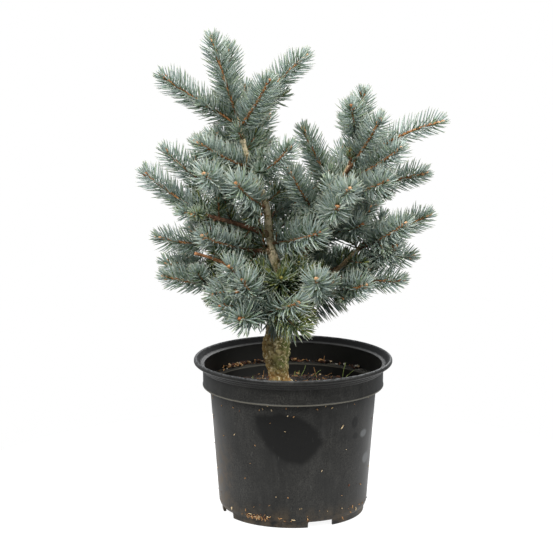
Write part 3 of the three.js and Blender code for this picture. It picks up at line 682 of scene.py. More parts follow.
def moulded_polypropylene():
    """Black recycled polypropylene, injection moulded: a satin skin with faint orange peel, dulled by a film
    of dry dust that thickens to brown at the foot and on one side, with scuffs, wet drops, chalky smudges,
    and a patch where water washed the dust away and the plastic shows its own black."""
    material, tree = new_finish("moulded_black_polypropylene")
    place = add(tree, "ShaderNodeTexCoord").outputs["Object"]
    masks = patchy(tree, place, {
        "clouds": (60, 0.35, 0.7, EVEN), "film": (38, 0.3, 0.72, EVEN), "fine": (1.6, 0.35, 0.7, EVEN),
        "runs": (9, 0.5, 0.72, (1, 1, 0.12)), "drifts": (10, 0.38, 0.62, EVEN),
        "scuffs": (2.2, 0.66, 0.72, (1, 1, 0.16)), "worn": (5, 0.4, 0.62, EVEN),
    })
    masks |= zoned(tree, place, {
        "foot": ("Z", 32, 2), "left": ("X", -62, -92), "lower": ("Z", 120, 40), "below_band": ("Z", 158, 154),
        "bead_foot": ("Z", 149.0, 149.5), "bead_top": ("Z", 151.0, 150.4), "lip_wear_and_highlight": ("Z", 179.4, 180.8),
        "rim_slope_shade": ("Z", 174.6, 175.8), "inside_wall_shade": ("Z", 173.5, 171.5),
    })
    # What faces up is a ledge, and what faces the pot's own middle is within it.
    shape = add(tree, "ShaderNodeNewGeometry")
    facing = add(tree, "ShaderNodeSeparateXYZ", {"Vector": shape.outputs["Normal"]})
    ledge = add(tree, "ShaderNodeMapRange", {"Value": facing.outputs["Z"], "From Min": 0.6, "From Max": 0.9})
    masks["ledge"] = ledge.outputs[0]
    level = add(tree, "ShaderNodeVectorMath", {0: place, 1: (1, 1, 0)}, operation="MULTIPLY")
    outward = {0: level.outputs[0], 1: shape.outputs["Normal"]}
    outward = add(tree, "ShaderNodeVectorMath", outward, operation="DOT_PRODUCT")
    within = {"Value": outward.outputs["Value"], "From Min": 0.0, "From Max": -0.03}
    masks["within"] = add(tree, "ShaderNodeMapRange", within).outputs[0]
    flat = flattened(tree, place)
    masks["washed"] = washed_patch(tree, place, flat)
    masks["wet"] = soft_marks(tree, flat, WET_DROPS)
    masks["chalk"] = soft_marks(tree, flat, CHALK_SMUDGES)
    layers = [
        ("#252524", 0.4, 1.0, ["clouds"]), ("#5A5853", 0.6, 0.34, ["film", "fine"]),
        ("#504F4C", 0.55, 0.13, ["runs"]), ("#0D0D0C", 0.3, 0.95, ["washed"]),
        ("#0B0B0A", 0.28, 0.97, ["wet"]), ("#797B7C", 0.6, 0.48, ["chalk"]),
        ("#7C6446", 0.8, 0.33, ["left", "lower", "drifts"]), ("#6C5C46", 0.85, 0.3, ["foot", "drifts"]),
        # Painted shade: the pot's inside is a plain dark grey, near black on the slope under the rim.
        ("#2A2A28", 0.5, 0.85, ["within", "inside_wall_shade"]), ("#0F0F0F", 0.5, 0.9, ["within", "rim_slope_shade"]),
        ("#6E6A60", 0.85, 0.4, ["ledge", "below_band", "drifts"]), ("#6A6A66", 0.6, 0.25, ["scuffs"]),
        # The paler grey on the lip's top is partly rubbed wear and partly painted highlight.
        ("#837F72", 0.6, 0.42, ["bead_foot", "bead_top"]), ("#7A7C7E", 0.5, 0.34, ["lip_wear_and_highlight", "worn"]),
    ]
    colour, roughness = layered(tree, masks, "#181817", 0.34, layers)
    peel = add(tree, "ShaderNodeTexNoise", {"Vector": place, "Scale": per(2.4), "Detail": 2.0})
    swell = add(tree, "ShaderNodeTexNoise", {"Vector": place, "Scale": per(26), "Detail": 1.0})
    height = {0: peel.outputs[0], 1: 0.14, 2: swell.outputs[0]}
    height = add(tree, "ShaderNodeMath", height, operation="MULTIPLY_ADD")
    bump = add(tree, "ShaderNodeBump", {"Strength": 0.35, "Distance": 0.9 * MM, "Height": height.outputs[0]})
    inputs = {"Base Color": colour, "Roughness": roughness, "IOR": 1.49, "Specular IOR Level": 0.16}
    surface = add(tree, "ShaderNodeBsdfPrincipled", inputs | {"Normal": bump.outputs[0]})
    add(tree, "ShaderNodeOutputMaterial", {"Surface": surface.outputs[0]})
    return material


limbs = grow_limbs()
shoots = grow_shoots(limbs)

# How long the needles of each joined piece are, as a share of the longest.
NEEDLE_SHARES = {"top": 0.93, "left": 0.88, "front": 1.0}
NEEDLE_SHARES |= {"right_crown": 0.88, "right_low": 0.86, "back": 0.88}

# The tones of a kind of shoot: how much of each of the first eight.
BLUE = [0.34, 0.17, 0.2, 0.12, 0.07, 0.1, 0, 0]  # new needles in the light
SOFT_BLUE = [0.22, 0.08, 0.27, 0.19, 0.08, 0.15, 0.01, 0]  # new needles lower down
SHADED = [0.06, 0, 0.17, 0.24, 0.1, 0.25, 0.16, 0.02]  # needles within the crown
OLD = [0, 0, 0, 0.1, 0.08, 0.24, 0.32, 0.26]  # dark rosettes some years old
YELLOWED = [0, 0, 0, 0.03, 0.22, 0.05, 0.2, 0.5]  # weak tufts that lose their green
MOSSY = [0, 0, 0.02, 0.2, 0.34, 0.1, 0.1, 0.24]  # a shoot with a green bloom

needle_forms = {name: Forms() for name in NEEDLE_SHARES}
twig_forms = Forms()
bud_forms = Forms()
NEW_BARK, OLD_BARK, SHADED_BARK = range(3)
OLIVE_BUD = 3
# Needles for each millimetre of shoot where they stand further apart: by mass, or by joined piece.
SPARSER = {"right_far_spray": 1.8, "back": 2.2, "left": 2.6}
TOP_MASSES = 8  # the first rows of the masses
SKIN_STEP = 2.5  # from one ring of a twig to the next
TUFT = 10  # needles close round each bud
OLD_KEPT = 0.7  # the share of needles still on the older part of a shoot
BUD, SMALL_BUD = (6.8, 2.4), (5.0, 1.8)  # length and radius
# Seeds: each kind of growth counts on from its own.
SHOOT_SEED, STEM_TWIG_SEED, WITHIN_SEED, STRAY_SEED = 1000, 3000, 6000, 8000


def side_of(mass):
    """Which joined piece of needles a mass belongs to."""
    name = MASSES[mass][0]
    if mass < TOP_MASSES:
        return "top"
    if name.startswith("left_"):
        return "left"
    if name.startswith("back_"):
        return "back"
    if name.startswith(("front_", "middle_", "inner_")):
        return "front"
    crown = ("leader_", "right_crown", "right_far", "right_viewer", "right_arm")
    return "right_crown" if name.startswith(crown) else "right_low"


# Stretches of wood that no needle covers, seen from the front and a little above: limb, its heights, and how
# far needles stay clear to each side.
OPEN_WOOD = [
    ("trunk", 282, 358, 5.2),
    ("trunk", 418, 434, 1.3),
    ("right_leader", 392, 412, 3.5),
    ("cut_twig", 295, 312, 2.6),
    ("left_old_bough", 338, 351, 2.0),
]
LOOKING_DOWN = 0.21  # how much lower a thing seems for each millimetre that it lies nearer
# Tufts of old growth that newer needles leave open to the front: the middle, and how far round it.
OPEN_TUFTS = [((-12, -44, 281), 17.0), ((65, -11, 419), 6.0)]
TUFT_DEPTH = 14  # how far behind its middle a tuft still reaches


def open_stretches():
    """The lines of the open wood, each with how far needles stay clear of it."""
    stretches = []
    for name, low, high, half_width in OPEN_WOOD:
        curve = smoothed(limbs[name], 3)
        stretches.append((curve[(curve[:, 2] > low) & (curve[:, 2] < high)], half_width))
    return stretches


open_lines = open_stretches()


def hides_wood(points):
    """Which of the points stand before a stretch of open wood."""
    hidden = np.zeros(len(points), bool)
    for curve, half_width in open_lines:
        aside = points[:, None, 0] - curve[:, 0]
        above = points[:, None, 2] - curve[:, 2] + LOOKING_DOWN * (points[:, None, 1] - curve[:, 1])
        gap = np.hypot(aside, above)
        hidden |= (gap.min(axis=1) < half_width) & (points[:, 1] < curve[gap.argmin(axis=1), 1] - 1)
    return hidden


def hides_tuft(points):
    """Which of the points stand before an open tuft."""
    hidden = np.zeros(len(points), bool)
    for (x, y, z), radius in OPEN_TUFTS:
        above = points[:, 2] - z + LOOKING_DOWN * (points[:, 1] - y)
        hidden |= (np.hypot(points[:, 0] - x, above) < radius) & (points[:, 1] < y + TUFT_DEPTH)
    return hidden


def tones_drawn(shares, weights):
    """The tone that each share falls to when they are dealt out by weight."""
    return np.searchsorted(np.cumsum(weights) / weights.sum(), shares)


def dress(piece, line, bare, radii, tones, seed, density, size, old=0.0, hang=0.0):
    """Needles in a spiral along a shoot, closing in round its bud, and older ones on its old foot."""
    random = chance(seed)
    curve = smoothed(line, SKIN_STEP)
    ways, across, beside = framed(curve)
    sums = lengths(curve)
    total = sums[-1]
    count = max(6, int((total - bare) * density))
    at = bare + (total - bare) * (np.arange(count) + random.random(count)) / count
    keep = (at > old) | (random.random(count) < OLD_KEPT)
    at = np.concatenate([at[keep], total - 3 * random.random(TUFT)])
    turn = np.concatenate([np.arange(count)[keep] * GOLDEN, random.random(TUFT) * 2 * math.pi])
    turn = turn + random.normal(0, 0.14, len(at))

    middle = read_off(curve, sums, at)
    way = unit(read_off(ways, sums, at))
    across = unit(read_off(across, sums, at))
    beside = unit(read_off(beside, sums, at))
    outward = across * np.cos(turn)[:, None] + beside * np.sin(turn)[:, None]
    thick = np.interp(at, sums, np.linspace(radii[0], radii[1], len(sums)))
    root = middle + outward * (thick - 0.5)[:, None]

    closing = eased(total - TIP_REACH, total, at)
    lean = NEEDLE_OPEN + 5 * outward[:, 2] - (NEEDLE_OPEN - TIP_OPEN) * closing**1.3
    lean = np.radians(np.clip(lean + random.normal(0, 3.5, len(at)), 6, 96))
    aim = way * np.cos(lean)[:, None] + outward * np.sin(lean)[:, None]
    aim = unit(aim + UP * (0.05 - hang) + random.normal(0, 0.02, (len(at), 3)))
    reach = NEEDLE * NEEDLE_SHARES[piece] * size * (0.68 + 0.32 * eased(bare, bare + 12, at))
    reach = reach * (1 - 0.4 * closing) * random.uniform(0.86, 1.08, len(at))
    bend = unit(way * 0.9 + UP * (0.45 - 2.2 * hang) + random.normal(0, 0.12, (len(at), 3)))

    weights = np.array(tones, float)
    # Needles on the old foot lean to the shaded tones: partly older needles, partly painted shade.
    worn = np.array(SHADED, float) * 0.6 + weights * 0.4
    share = random.random(len(at))
    tone = np.where(at < old, tones_drawn(share, worn), tones_drawn(share, weights)).clip(0, 7)
    wide = NEEDLE_WIDTH * random.uniform(0.88, 1.1, len(at))
    spots = [root, root + aim * reach[:, None] / 2, root + aim * reach[:, None]]
    hides = np.any([hides_wood(spot) for spot in spots], axis=0)
    if tones is not OLD and tones is not YELLOWED:
        hides |= np.any([hides_tuft(spot) for spot in spots], axis=0)
    shown = (rows[~hides] for rows in (root, aim, bend, reach, wide, tone))
    add_needles(needle_forms[piece], *shown)


def add_twig(line, radii, bark, seed, shaded=0.45):
    """The twig itself, knobbly with the pegs that needles sit on; the first share of a new one is darker,
    partly older bark and partly painted shade.
    """
    sides = 7
    curve = smoothed(line, SKIN_STEP)
    size = np.linspace(radii[0], radii[1], len(curve))
    skin = tube(curve, size, sides, relief=lambda skin: 0.4 * lumps(skin, 2.4, 300 + seed % 7, 1))
    walls, foot, end = sleeve(len(curve), sides)
    older_and_shaded = np.repeat(np.linspace(0, 1, len(curve) - 1) < shaded, sides)
    barks = np.where(older_and_shaded & (bark == NEW_BARK), SHADED_BARK, bark)
    twig_forms.add(skin, (walls, barks), (foot, barks[:1]), (end, bark))


def add_buds(line, seed, size=1.0, most=4, tone=None):
    """A bud on a shoot's end, with smaller ones round its foot."""
    random = chance(seed, 5)
    way = unit(line[-1] - line[-2])
    side = unit(np.cross(way, UP + random.normal(0, 0.2, 3)))
    tone = int(random.integers(0, 3)) if tone is None else tone
    skin, faces = egg(line[-1] - way * 0.6, way, BUD[0] * size, BUD[1] * size)
    bud_forms.add(skin, *[(face, tone) for face in faces])
    count = int(random.integers(2, most + 1))
    for i in range(count):
        outward = round_about(way, side, 2 * math.pi * (i + random.uniform(-0.15, 0.15)) / count)
        foot = line[-1] - way * 2.4 + outward * 0.9
        skin, faces = egg(foot, unit(way + outward * 0.8), SMALL_BUD[0] * size, SMALL_BUD[1] * size)
        bud_forms.add(skin, *[(face, tone) for face in faces])


def tones_at(point):
    """Bluer and paler high up and outside, greener and darker low down and within: partly older needles there,
    partly painted shade.
    """
    height = float(eased(235, 400, np.array(point[2])))
    out = float(eased(30, 110, np.array(np.hypot(point[0] + 10, point[1]))))
    light = 0.35 + 0.4 * height + 0.25 * out
    rows = np.array([SHADED, SOFT_BLUE, BLUE])
    mixed = np.interp(light, [0.2, 0.6, 1.0], [0, 1, 2])
    low = int(min(math.floor(mixed), 1))
    return rows[low] * (1 - (mixed - low)) + rows[low + 1] * (mixed - low)


def fine_twig(piece, start, way, length, seed, tones, size, density=2.2, lift=16, hang=0.0, bud=True):
    """A short twig with its needles and bud, left out where it would hide open wood."""
    compass = math.degrees(math.atan2(way[1], way[0]))
    rise = math.degrees(math.asin(np.clip(way[2], -1, 1)))
    line = arc(start, compass, rise, length, lift, 4)
    if hides_wood(line[1:]).any():
        return
    radii = (1.2, 0.8)
    add_twig(line, radii, NEW_BARK, seed)
    dress(piece, line, 2.0, radii, tones, seed, density, size, hang=hang)
    if bud:
        add_buds(line, seed, 0.75, 3, OLIVE_BUD if tones is OLD else None)


def dress_shoot(number, shoot):
    """A shoot of a mass, as its twig, needles and buds."""
    line = shoot["line"]
    name = MASSES[shoot["mass"]][0]
    piece = side_of(shoot["mass"])
    inner = name == "inner_old_spray"
    yellowing = name == "front_right_spray" and shoot["side"]
    tones = OLD if inner else YELLOWED if yellowing else tones_at(line[-1])
    radii = (1.4, 1.1) if shoot["side"] else (1.9, 1.5)
    bright = piece == "top" or name == "right_far_spray"
    # The top shoots and the far right one stand in the light, so less of their twig gets the painted shade.
    add_twig(line, radii, OLD_BARK if inner or yellowing else NEW_BARK, number, 0.1 if bright else 0.45)
    bare = shoot["bare"] * (0.2 if piece == "top" else 0.5)
    # Shoots that point to the front have the longest needles.
    forward = -unit(line[-1] - line[-2])[1]
    size = 1.35 if inner else 1 + 0.22 * float(eased(0.4, 0.8, forward))
    density = SPARSER.get(name, SPARSER.get(piece, NEEDLES_PER_MM))
    seed = SHOOT_SEED + number
    dress(piece, line, bare, radii, tones, seed, density, size, old=shoot["old"] * 0.7)
    add_buds(line, number, 0.8 if yellowing else 1.0, tone=OLIVE_BUD if inner or yellowing else None)


def add_stem_twigs(number, shoot):
    """Short twigs on a stem's older wood, and a pair where its newest shoot begins."""
    line, old = shoot["line"], shoot["old"]
    piece = side_of(shoot["mass"])
    random = chance(number, 9)
    total = lengths(line)[-1]
    seats = np.arange(max(10.0, old * 0.4), old + 8, 24)
    for k, at in enumerate(seats):
        point, way = along(line, min(at, total * 0.8))
        outward = round_about(way, unit(np.cross(way, UP)), k * GOLDEN + number)
        opening = math.radians(random.uniform(42, 62))
        twig_way = unit(way * math.cos(opening) + outward * math.sin(opening) + UP * 0.15)
        length = random.uniform(18, 30)
        # Half of the shaded tones: partly older needles, partly painted shade.
        mixed = tones_at(point) * 0.5 + np.array(SHADED) * 0.5
        seed = STEM_TWIG_SEED + number * 12 + k
        fine_twig(piece, point, twig_way, length, seed, mixed, 0.95, bud=random.random() < 0.35)


for number, shoot in enumerate(shoots):
    dress_shoot(number, shoot)
    if not shoot["side"]:
        add_stem_twigs(number, shoot)

# Old dark twigs that fill the crown round the trunk and along the boughs: limb, first and last share, step.
WITHIN = [("trunk", 0.3, 0.98, 13.0), ("left_old_bough", 0.1, 0.4, 9.0), ("left_old_bough", 0.62, 1.0, 6.0)]
WITHIN += [(name, 0.12, 0.95, 9.0) for name in ("left_middle_bough", "left_low_bough", "left_upper_bough")]
COVERED = {name for name, _, _, _ in WITHIN} | {"cut_twig", "right_low_bough"}
WITHIN += [(row[0], 0.25, 0.95, 17.0) for row in BOUGHS if row[0] not in COVERED]


def nearest_piece(point):
    """The joined piece of needles whose shoots pass nearest to a point."""
    gaps = [distances(point[None], shoot["line"][:-1], shoot["line"][1:])[0] for shoot in shoots]
    return side_of(shoots[int(np.argmin(gaps))]["mass"])


def fill_within(row, name, low, high, step):
    """Twigs all round a stretch of a limb, darker the lower they are."""
    line = limbs[name]
    total = lengths(line)[-1]
    for k, at in enumerate(np.arange(total * low, total * high, step)):
        random = chance(row, k, 3)
        point, way = along(line, at)
        side = unit(np.cross(way, np.array([0.3, 1.0, 0.2])))
        outward = round_about(way, side, k * GOLDEN + row)
        twig_way = unit(outward + way * random.uniform(0.2, 0.7) + UP * 0.25)
        piece = nearest_piece(point + twig_way * 20)
        mix = float(eased(250, 420, np.array(point[2])))
        tones = np.array(OLD) * (1 - mix) + np.array(SHADED) * mix
        length = random.uniform(20, 34)
        seed = WITHIN_SEED + row * 40 + k
        fine_twig(piece, point, twig_way, length, seed, tones, 0.9, 2.0, bud=random.random() < 0.2)


for row, (name, low, high, step) in enumerate(WITHIN):
    fill_within(row, name, low, high, step)

# Growth with a place of its own: start, compass, rise, length, lift, tones, needle size, hang, piece.
STRAY = [
    ((-16, -11, 274), -84, 14, 34, 12, OLD, 1.4, 0.0, "front"),  # the old rosette before the trunk
    ((-14, -10, 264), -40, 6, 34, 0, OLD, 1.2, 0.1, "front"),
    ((-18, -10, 260), -125, 0, 30, 0, OLD, 1.15, 0.1, "front"),
    ((-15, -12, 270), -70, -4, 28, 0, OLD, 1.3, 0.1, "front"),
    ((-17, -12, 272), -104, 2, 26, 0, OLD, 1.3, 0.1, "front"),
    ((-8, -8, 288), -62, 22, 30, 10, OLD, 1.1, 0.0, "front"),
    ((-20, -9, 284), -118, 20, 26, 10, OLD, 1.1, 0.0, "front"),
    ((8, -10, 262), -60, 10, 34, 0, OLD, 1.1, 0.1, "right_low"),
    ((-13, 6, 322), 22, 26, 62, 0, SOFT_BLUE, 1.1, 0.0, "front"),  # shaded shoots behind the stem
    ((-12, 8, 300), 14, 18, 52, 6, SHADED, 1.05, 0.0, "front"),
    ((-14, 8, 334), 40, 20, 50, 0, SHADED, 1.05, 0.0, "front"),
    ((1, -44, 249), -62, -6, 26, 10, YELLOWED, 1.1, 0.15, "front"),  # the yellowed tuft low at the front
    ((-19, -24, 242), -95, -30, 20, -20, SOFT_BLUE, 1.35, 0.5, "front"),  # long needles that hang at the foot
    ((-9, -24, 240), -75, -34, 18, -20, SOFT_BLUE, 1.3, 0.5, "front"),
    ((-99, -46, 356), -120, 12, 28, -10, MOSSY, 0.66, 0.0, "left"),  # the mossy shoot at the left
    ((63, -9, 415), -60, 60, 13, 0, YELLOWED, 0.6, 0.0, "right_crown"),  # the tuft beside the right leader
]


def add_stray(row, start, compass, rise, length, lift, tones, size, hang, piece):
    """Hanging needles stand apart, old ones close together, and short ones closer than long ones."""
    density = 1.3 if hang > 0.4 else 3.4 if tones is OLD else 2.6 / min(size, 1)
    start, way = np.array(start, float), heading(compass, rise)
    fine_twig(piece, start, way, length, STRAY_SEED + row, tones, size, density, lift, hang)


for row, growth in enumerate(STRAY):
    add_stray(row, *growth)


def hang_comb(count):
    """A comb of long needles that hang from the underside of the lowest bough on the right."""
    random = chance(61)
    line = limbs["right_low_bough"]
    at = lengths(line)[-1] * random.uniform(0.3, 0.96, count)
    rows = [along(line, distance) for distance in at]
    middle = np.array([point for point, _ in rows])
    way = np.array([way for _, way in rows])
    across = unit(np.cross(way, UP))
    swing = random.uniform(-0.9, 0.9, count)[:, None]
    outward = unit(across * np.sin(swing) - np.cross(across, way) * np.cos(swing))
    aim = unit(outward + way * 0.55 - UP * 0.35 + random.normal(0, 0.06, (count, 3)))
    reach = NEEDLE * random.uniform(0.85, 1.1, count)
    wide = NEEDLE_WIDTH * random.uniform(0.85, 1.0, count)
    tone = random.choice(8, count, p=SHADED)
    add_needles(needle_forms["right_low"], middle + outward * 2, aim, unit(way * 0.4 - UP), reach, wide, tone)


hang_comb(64)


# Knots and branch scars of the trunk: height, compass, width and how far they stand proud.
KNOTS = [
    (172, -60, 7, 1.6), (181, -118, 8, 1.8), (196, -72, 6, -1.5), (203, -130, 7, 1.6), (214, -95, 6, 1.8),
    (222, -50, 7, 2.2), (231, -112, 6, 1.8), (246, -80, 5, 1.8), (262, -100, 4, 1.5), (287, -80, 4, 1.6),
    (296, -35, 4, 1.4), (318, -95, 4, 1.3), (186, 30, 8, 1.8), (206, 90, 7, 1.8), (224, 140, 7, 2.2),
]
rings = trunk_rings(36)
trunk_line, trunk_radii = rings[:, :3], rings[:, 3]


def bark_relief(skin):
    """Coarse lumps, scales with sunken edges and fine grain, which fade as the stem thins."""
    rough = 1 - 0.45 * eased(235, 285, skin[..., 2])
    near, next_near = plates(skin * [1, 1, 0.75], 5.2, 21)
    scales = 1.15 * np.clip((next_near - near) * 2.4, 0, 1) - 0.6
    proud = 1.5 * lumps(skin, 15, 11) + scales + 0.28 * lumps(skin, 1.9, 15, 2)
    foot = eased(166, 150, skin[..., 2])
    turn = np.arctan2(skin[..., 1], skin[..., 0] + 16)
    proud = proud * rough + foot * (1.2 + 1.5 * np.sin(3 * turn + 1) + 0.7 * np.sin(7 * turn))
    for height, compass, width, rise in KNOTS:
        i = int(np.argmin(np.abs(trunk_line[:, 2] - height)))
        seat = trunk_line[i] + heading(compass, 0) * trunk_radii[i]
        gap = np.linalg.norm(skin - seat, axis=-1) / width
        proud = proud + rise * (np.exp(-2.2 * gap**2) - 0.75 * np.exp(-14 * gap**2))
    return proud


def peg_relief(skin):
    """Pegs left by fallen needles on thin wood."""
    near, _ = plates(skin, 2.3, 31)
    return 0.55 * np.clip(0.75 - near, 0, 1) + 0.25 * lumps(skin, 7, 33, 2)


def trunk_forms():
    """The trunk, from a little under the compost's skin to its tip."""
    sides = 88
    line = np.vstack([trunk_line[:1] - UP * 4, trunk_line])
    radii = np.concatenate([trunk_radii[:1] * 1.04, trunk_radii])
    bark = Forms()
    walls, foot, end = sleeve(len(line), sides)
    bark.add(tube(line, radii, sides, bark_relief, UP), (walls, 0), (foot, 0), (end, 0))
    return bark


FLAKY, PEGGED, MOSSED = range(3)
BOUGH_FINISHES = dict.fromkeys(("left_old_bough", "left_upper_bough", "left_middle_bough"), PEGGED)
BOUGH_FINISHES["right_low_bough"] = MOSSED
TRUNK_BARK_REACH = 12  # how far the trunk's own bark runs out along a bough
boughs = Forms()
dead_twig = Forms()


def collared(curve, radii):
    """A bough's radii, swelling to a collar at the trunk's skin and slim within the trunk."""
    sums = lengths(curve)
    within = trunk_radii[int(np.argmin(np.abs(trunk_line[:, 2] - curve[0][2])))]
    radii = radii * (1 + 0.55 * np.exp(-np.clip(sums - within * 0.8, 0, None) / 5))
    return radii * (0.45 + 0.55 * eased(0, within * 0.9, sums))


def add_bough(name, root, tip):
    """A bough under pegs, with the trunk's own bark where it leaves the trunk."""
    curve = smoothed(limbs[name], 1.4)
    sums = lengths(curve)
    radii = np.interp(sums, [0, sums[-1]], [root, tip])
    is_dead = name == "cut_twig"
    radii = radii * 1.15 if is_dead else collared(curve, radii)
    sides = 14 if is_dead else 24
    walls, foot, end = sleeve(len(curve), sides)
    finish = BOUGH_FINISHES.get(name, FLAKY)
    finishes = np.where(np.repeat(sums[:-1] < TRUNK_BARK_REACH, sides), FLAKY, finish)
    skin = tube(curve, radii, sides, peg_relief)
    (dead_twig if is_dead else boughs).add(skin, (walls, finishes), (foot, FLAKY), (end, finish))


for name, _, _, _, _, _, _, root, tip in BOUGHS:
    add_bough(name, root, tip)


def compost_height(reach):
    """The mound's even shape: its height at a distance from the pot's middle."""
    return np.interp(reach, [0, 26, 46, 73.4, 93.4], [149.5, 148.6, 145.6, 141.2, 138.4])


def compost_top(x, y):
    """The height of the compost's lumpy skin."""
    flat = np.stack([x, y, np.zeros_like(x)], axis=-1)
    return compost_height(np.hypot(x, y)) + 1.4 * lumps(flat, 22, 41) + 0.8 * lumps(flat, 5, 45) + 0.3


def on_compost(x, y, above):
    """A place that far above the compost's skin."""
    return np.array([x, y, float(compost_top(np.array([x]), np.array([y]))[0]) + above])


def compost_forms():
    """The mound's skin out to the pot's wall, and a skirt that closes it underneath."""
    sides = 168
    around = np.arange(sides) * 2 * math.pi / sides
    reaches = np.concatenate([[0.6], np.linspace(2.5, 93.2, 58)])
    x = reaches[:, None] * np.cos(around)
    y = reaches[:, None] * np.sin(around)
    skin = np.stack([x, y, compost_top(x, y)], axis=-1)
    skirt = np.stack([0.975 * x[-1], 0.975 * y[-1], np.full(sides, 122.0)], axis=-1)[None]
    skin = np.concatenate([skin, skirt]).reshape(-1, 3)
    walls, foot, end = sleeve(len(reaches) + 1, sides)
    compost = Forms()
    compost.add(skin, (walls[:, ::-1], 0), (foot[:, ::-1], 0), (end[:, ::-1], 0))
    return compost


def flake(random, length, width, thick):
    """A splinter or chip of bark: an uneven flat outline, bowed and closed."""
    sides = 9
    turns = (np.arange(sides) + random.uniform(-0.3, 0.3, sides)) * 2 * math.pi / sides
    far = random.uniform(0.7, 1.0, sides)
    outline = [np.cos(turns) * far * length / 2, np.sin(turns) * far * width / 2, np.zeros(sides)]
    outline = np.column_stack(outline)
    bow = random.uniform(-0.12, 0.2) * length
    layers = []
    for share, level in ((0.8, -0.5), (1.0, 0.0), (0.82, 0.5)):
        layer = outline * share
        layer[:, 2] = thick * level + random.uniform(-0.12, 0.12, sides) * thick
        layers.append(layer)
    points = np.vstack([*layers, [[0, 0, -0.55 * thick]], [[0, 0, 0.6 * thick]]])
    points[:, 2] += bow * (0.25 - (points[:, 0] / length) ** 2)
    walls, _, _ = sleeve(3, sides)
    around = np.arange(sides)
    ahead = (around + 1) % sides
    under = np.column_stack([np.full(sides, 3 * sides), ahead, around])
    over = np.column_stack([np.full(sides, 3 * sides + 1), around + 2 * sides, ahead + 2 * sides])
    return points, walls, under, over


def laid(points, random, seat, normal, turn, tilt):
    """Points turned to lie on a surface at a seat, leaning a little."""
    normal = unit(normal + random.normal(0, tilt, 3))
    side = unit(np.cross(normal, np.array([0.1, 0.2, 1.0])))
    ahead = np.cross(side, normal)
    along_way = side * math.cos(turn) + ahead * math.sin(turn)
    across_way = np.cross(normal, along_way)
    return seat + points[:, :1] * along_way + points[:, 1:2] * across_way + points[:, 2:3] * normal


def add_flake(forms, random, seat, normal, length, width, thick, finish, tilt=0.25):
    """A flake laid on a surface."""
    points, walls, under, over = flake(random, length, width, thick)
    turn = random.random() * 2 * math.pi
    skin = laid(points, random, seat, normal, turn, tilt)
    forms.add(skin, (walls, finish), (under, finish), (over, finish))


def add_straw(forms, start, way, length, radius, finish, seed):
    """A short bent twiglet or straw."""
    bend = chance(seed, 8).normal(0, 0.12, 3)
    shares = np.linspace(0, 1, 6)[:, None]
    points = start + way * shares * length + bend * length * shares**2
    skin = tube(points, np.linspace(radius, radius * 0.7, 6), 5)
    walls, foot, end = sleeve(6, 5)
    forms.add(skin, (walls, finish), (foot, finish), (end, finish))


# Kinds of crumb, in the order of their finishes, and a straw, which has a chip's finish.
DARK_CRUMB, RED_CHIP, TAN_CHIP, PALE_CHIP, GREY_GRAIN, STRAW = range(6)
KIND_SHARES = [0.72, 0.12, 0.07, 0.02, 0.04, 0.03]
# The shortest and longest of each kind but the straws.
CRUMB_LENGTHS = [(1.5, 5), (2, 9), (2, 7), (1.5, 4.5), (1, 2.6)]
LITTER_REACH = 92  # from the pot's middle nearly to its wall


def scatter_litter(litter, random, count):
    """Crumbs, chips and straws all over the compost, but for the trunk's foot."""
    for _ in range(count):
        reach = LITTER_REACH * math.sqrt(random.random())
        turn = random.random() * 2 * math.pi
        x, y = reach * math.cos(turn), reach * math.sin(turn)
        if np.hypot(x - TRUNK[0][0], y) < 13:
            continue
        seat = on_compost(x, y, 0.3)
        kind = int(random.choice(6, p=KIND_SHARES))
        if kind == STRAW:
            way = unit(np.array([*random.normal(0, 1, 2), random.uniform(0, 0.5)]))
            length, radius = random.uniform(5, 14), random.uniform(0.3, 0.7)
            add_straw(litter, seat, way, length, radius, TAN_CHIP, int(random.integers(1 << 20)))
            continue
        length = random.uniform(*CRUMB_LENGTHS[kind])
        width = length * random.uniform(0.35, 0.8)
        thick = min(length * random.uniform(0.15, 0.35), 2.0)
        add_flake(litter, random, seat, UP, length, width, thick, kind, tilt=0.35)


# The pot: half its profile, radius and height, from the underside's middle round to the floor inside.
FOOT_PROFILE = [(0, 0), (46, 0), (47.5, 7.3), (79.2, 7.3), (79.2, 0), (81.8, 0), (82.6, 1), (83, 7.5)]
WALL_PROFILE = [
    (86, 12.5), (96.4, 148.6), (104, 148.8), (104.9, 149.3), (104.9, 150.7), (104.35, 151.3), (104.6, 168.6),
    (106.9, 169.5),
]
RIM_PROFILE = [
    (107.1, 171.6), (109.6, 172.7), (109.8, 174.8), (113.7, 175.6), (115, 176.9), (115, 179.2),
    (114.1, 180.7), (112.6, 181.2), (111.3, 180.5), (107.6, 175.6), (106.8, 175.1), (102.8, 174.4),
]
INNER_PROFILE = [
    (102.4, 152.2), (95, 151.6), (94.4, 150.2), (83.4, 12.5), (79.2, 9.7), (45.1, 9.7), (43.6, 2.4), (0, 2.4),
]
PROFILE = [*FOOT_PROFILE, (84.6, 8.7), *WALL_PROFILE, *RIM_PROFILE, *INNER_PROFILE]
POT_SIDES = 160
CORNER = 0.7  # how far each moulded corner is rounded
LONG_RUN = 1.6  # a run longer than this is divided, with a close ring near each end
# One of the four drainage notches, as half widths and heights of its outline.
NOTCH = [(15.5, -3), (15.5, 5.6), (14.9, 6.6), (13.9, 7), (-13.9, 7), (-14.9, 6.6), (-15.5, 5.6), (-15.5, -3)]


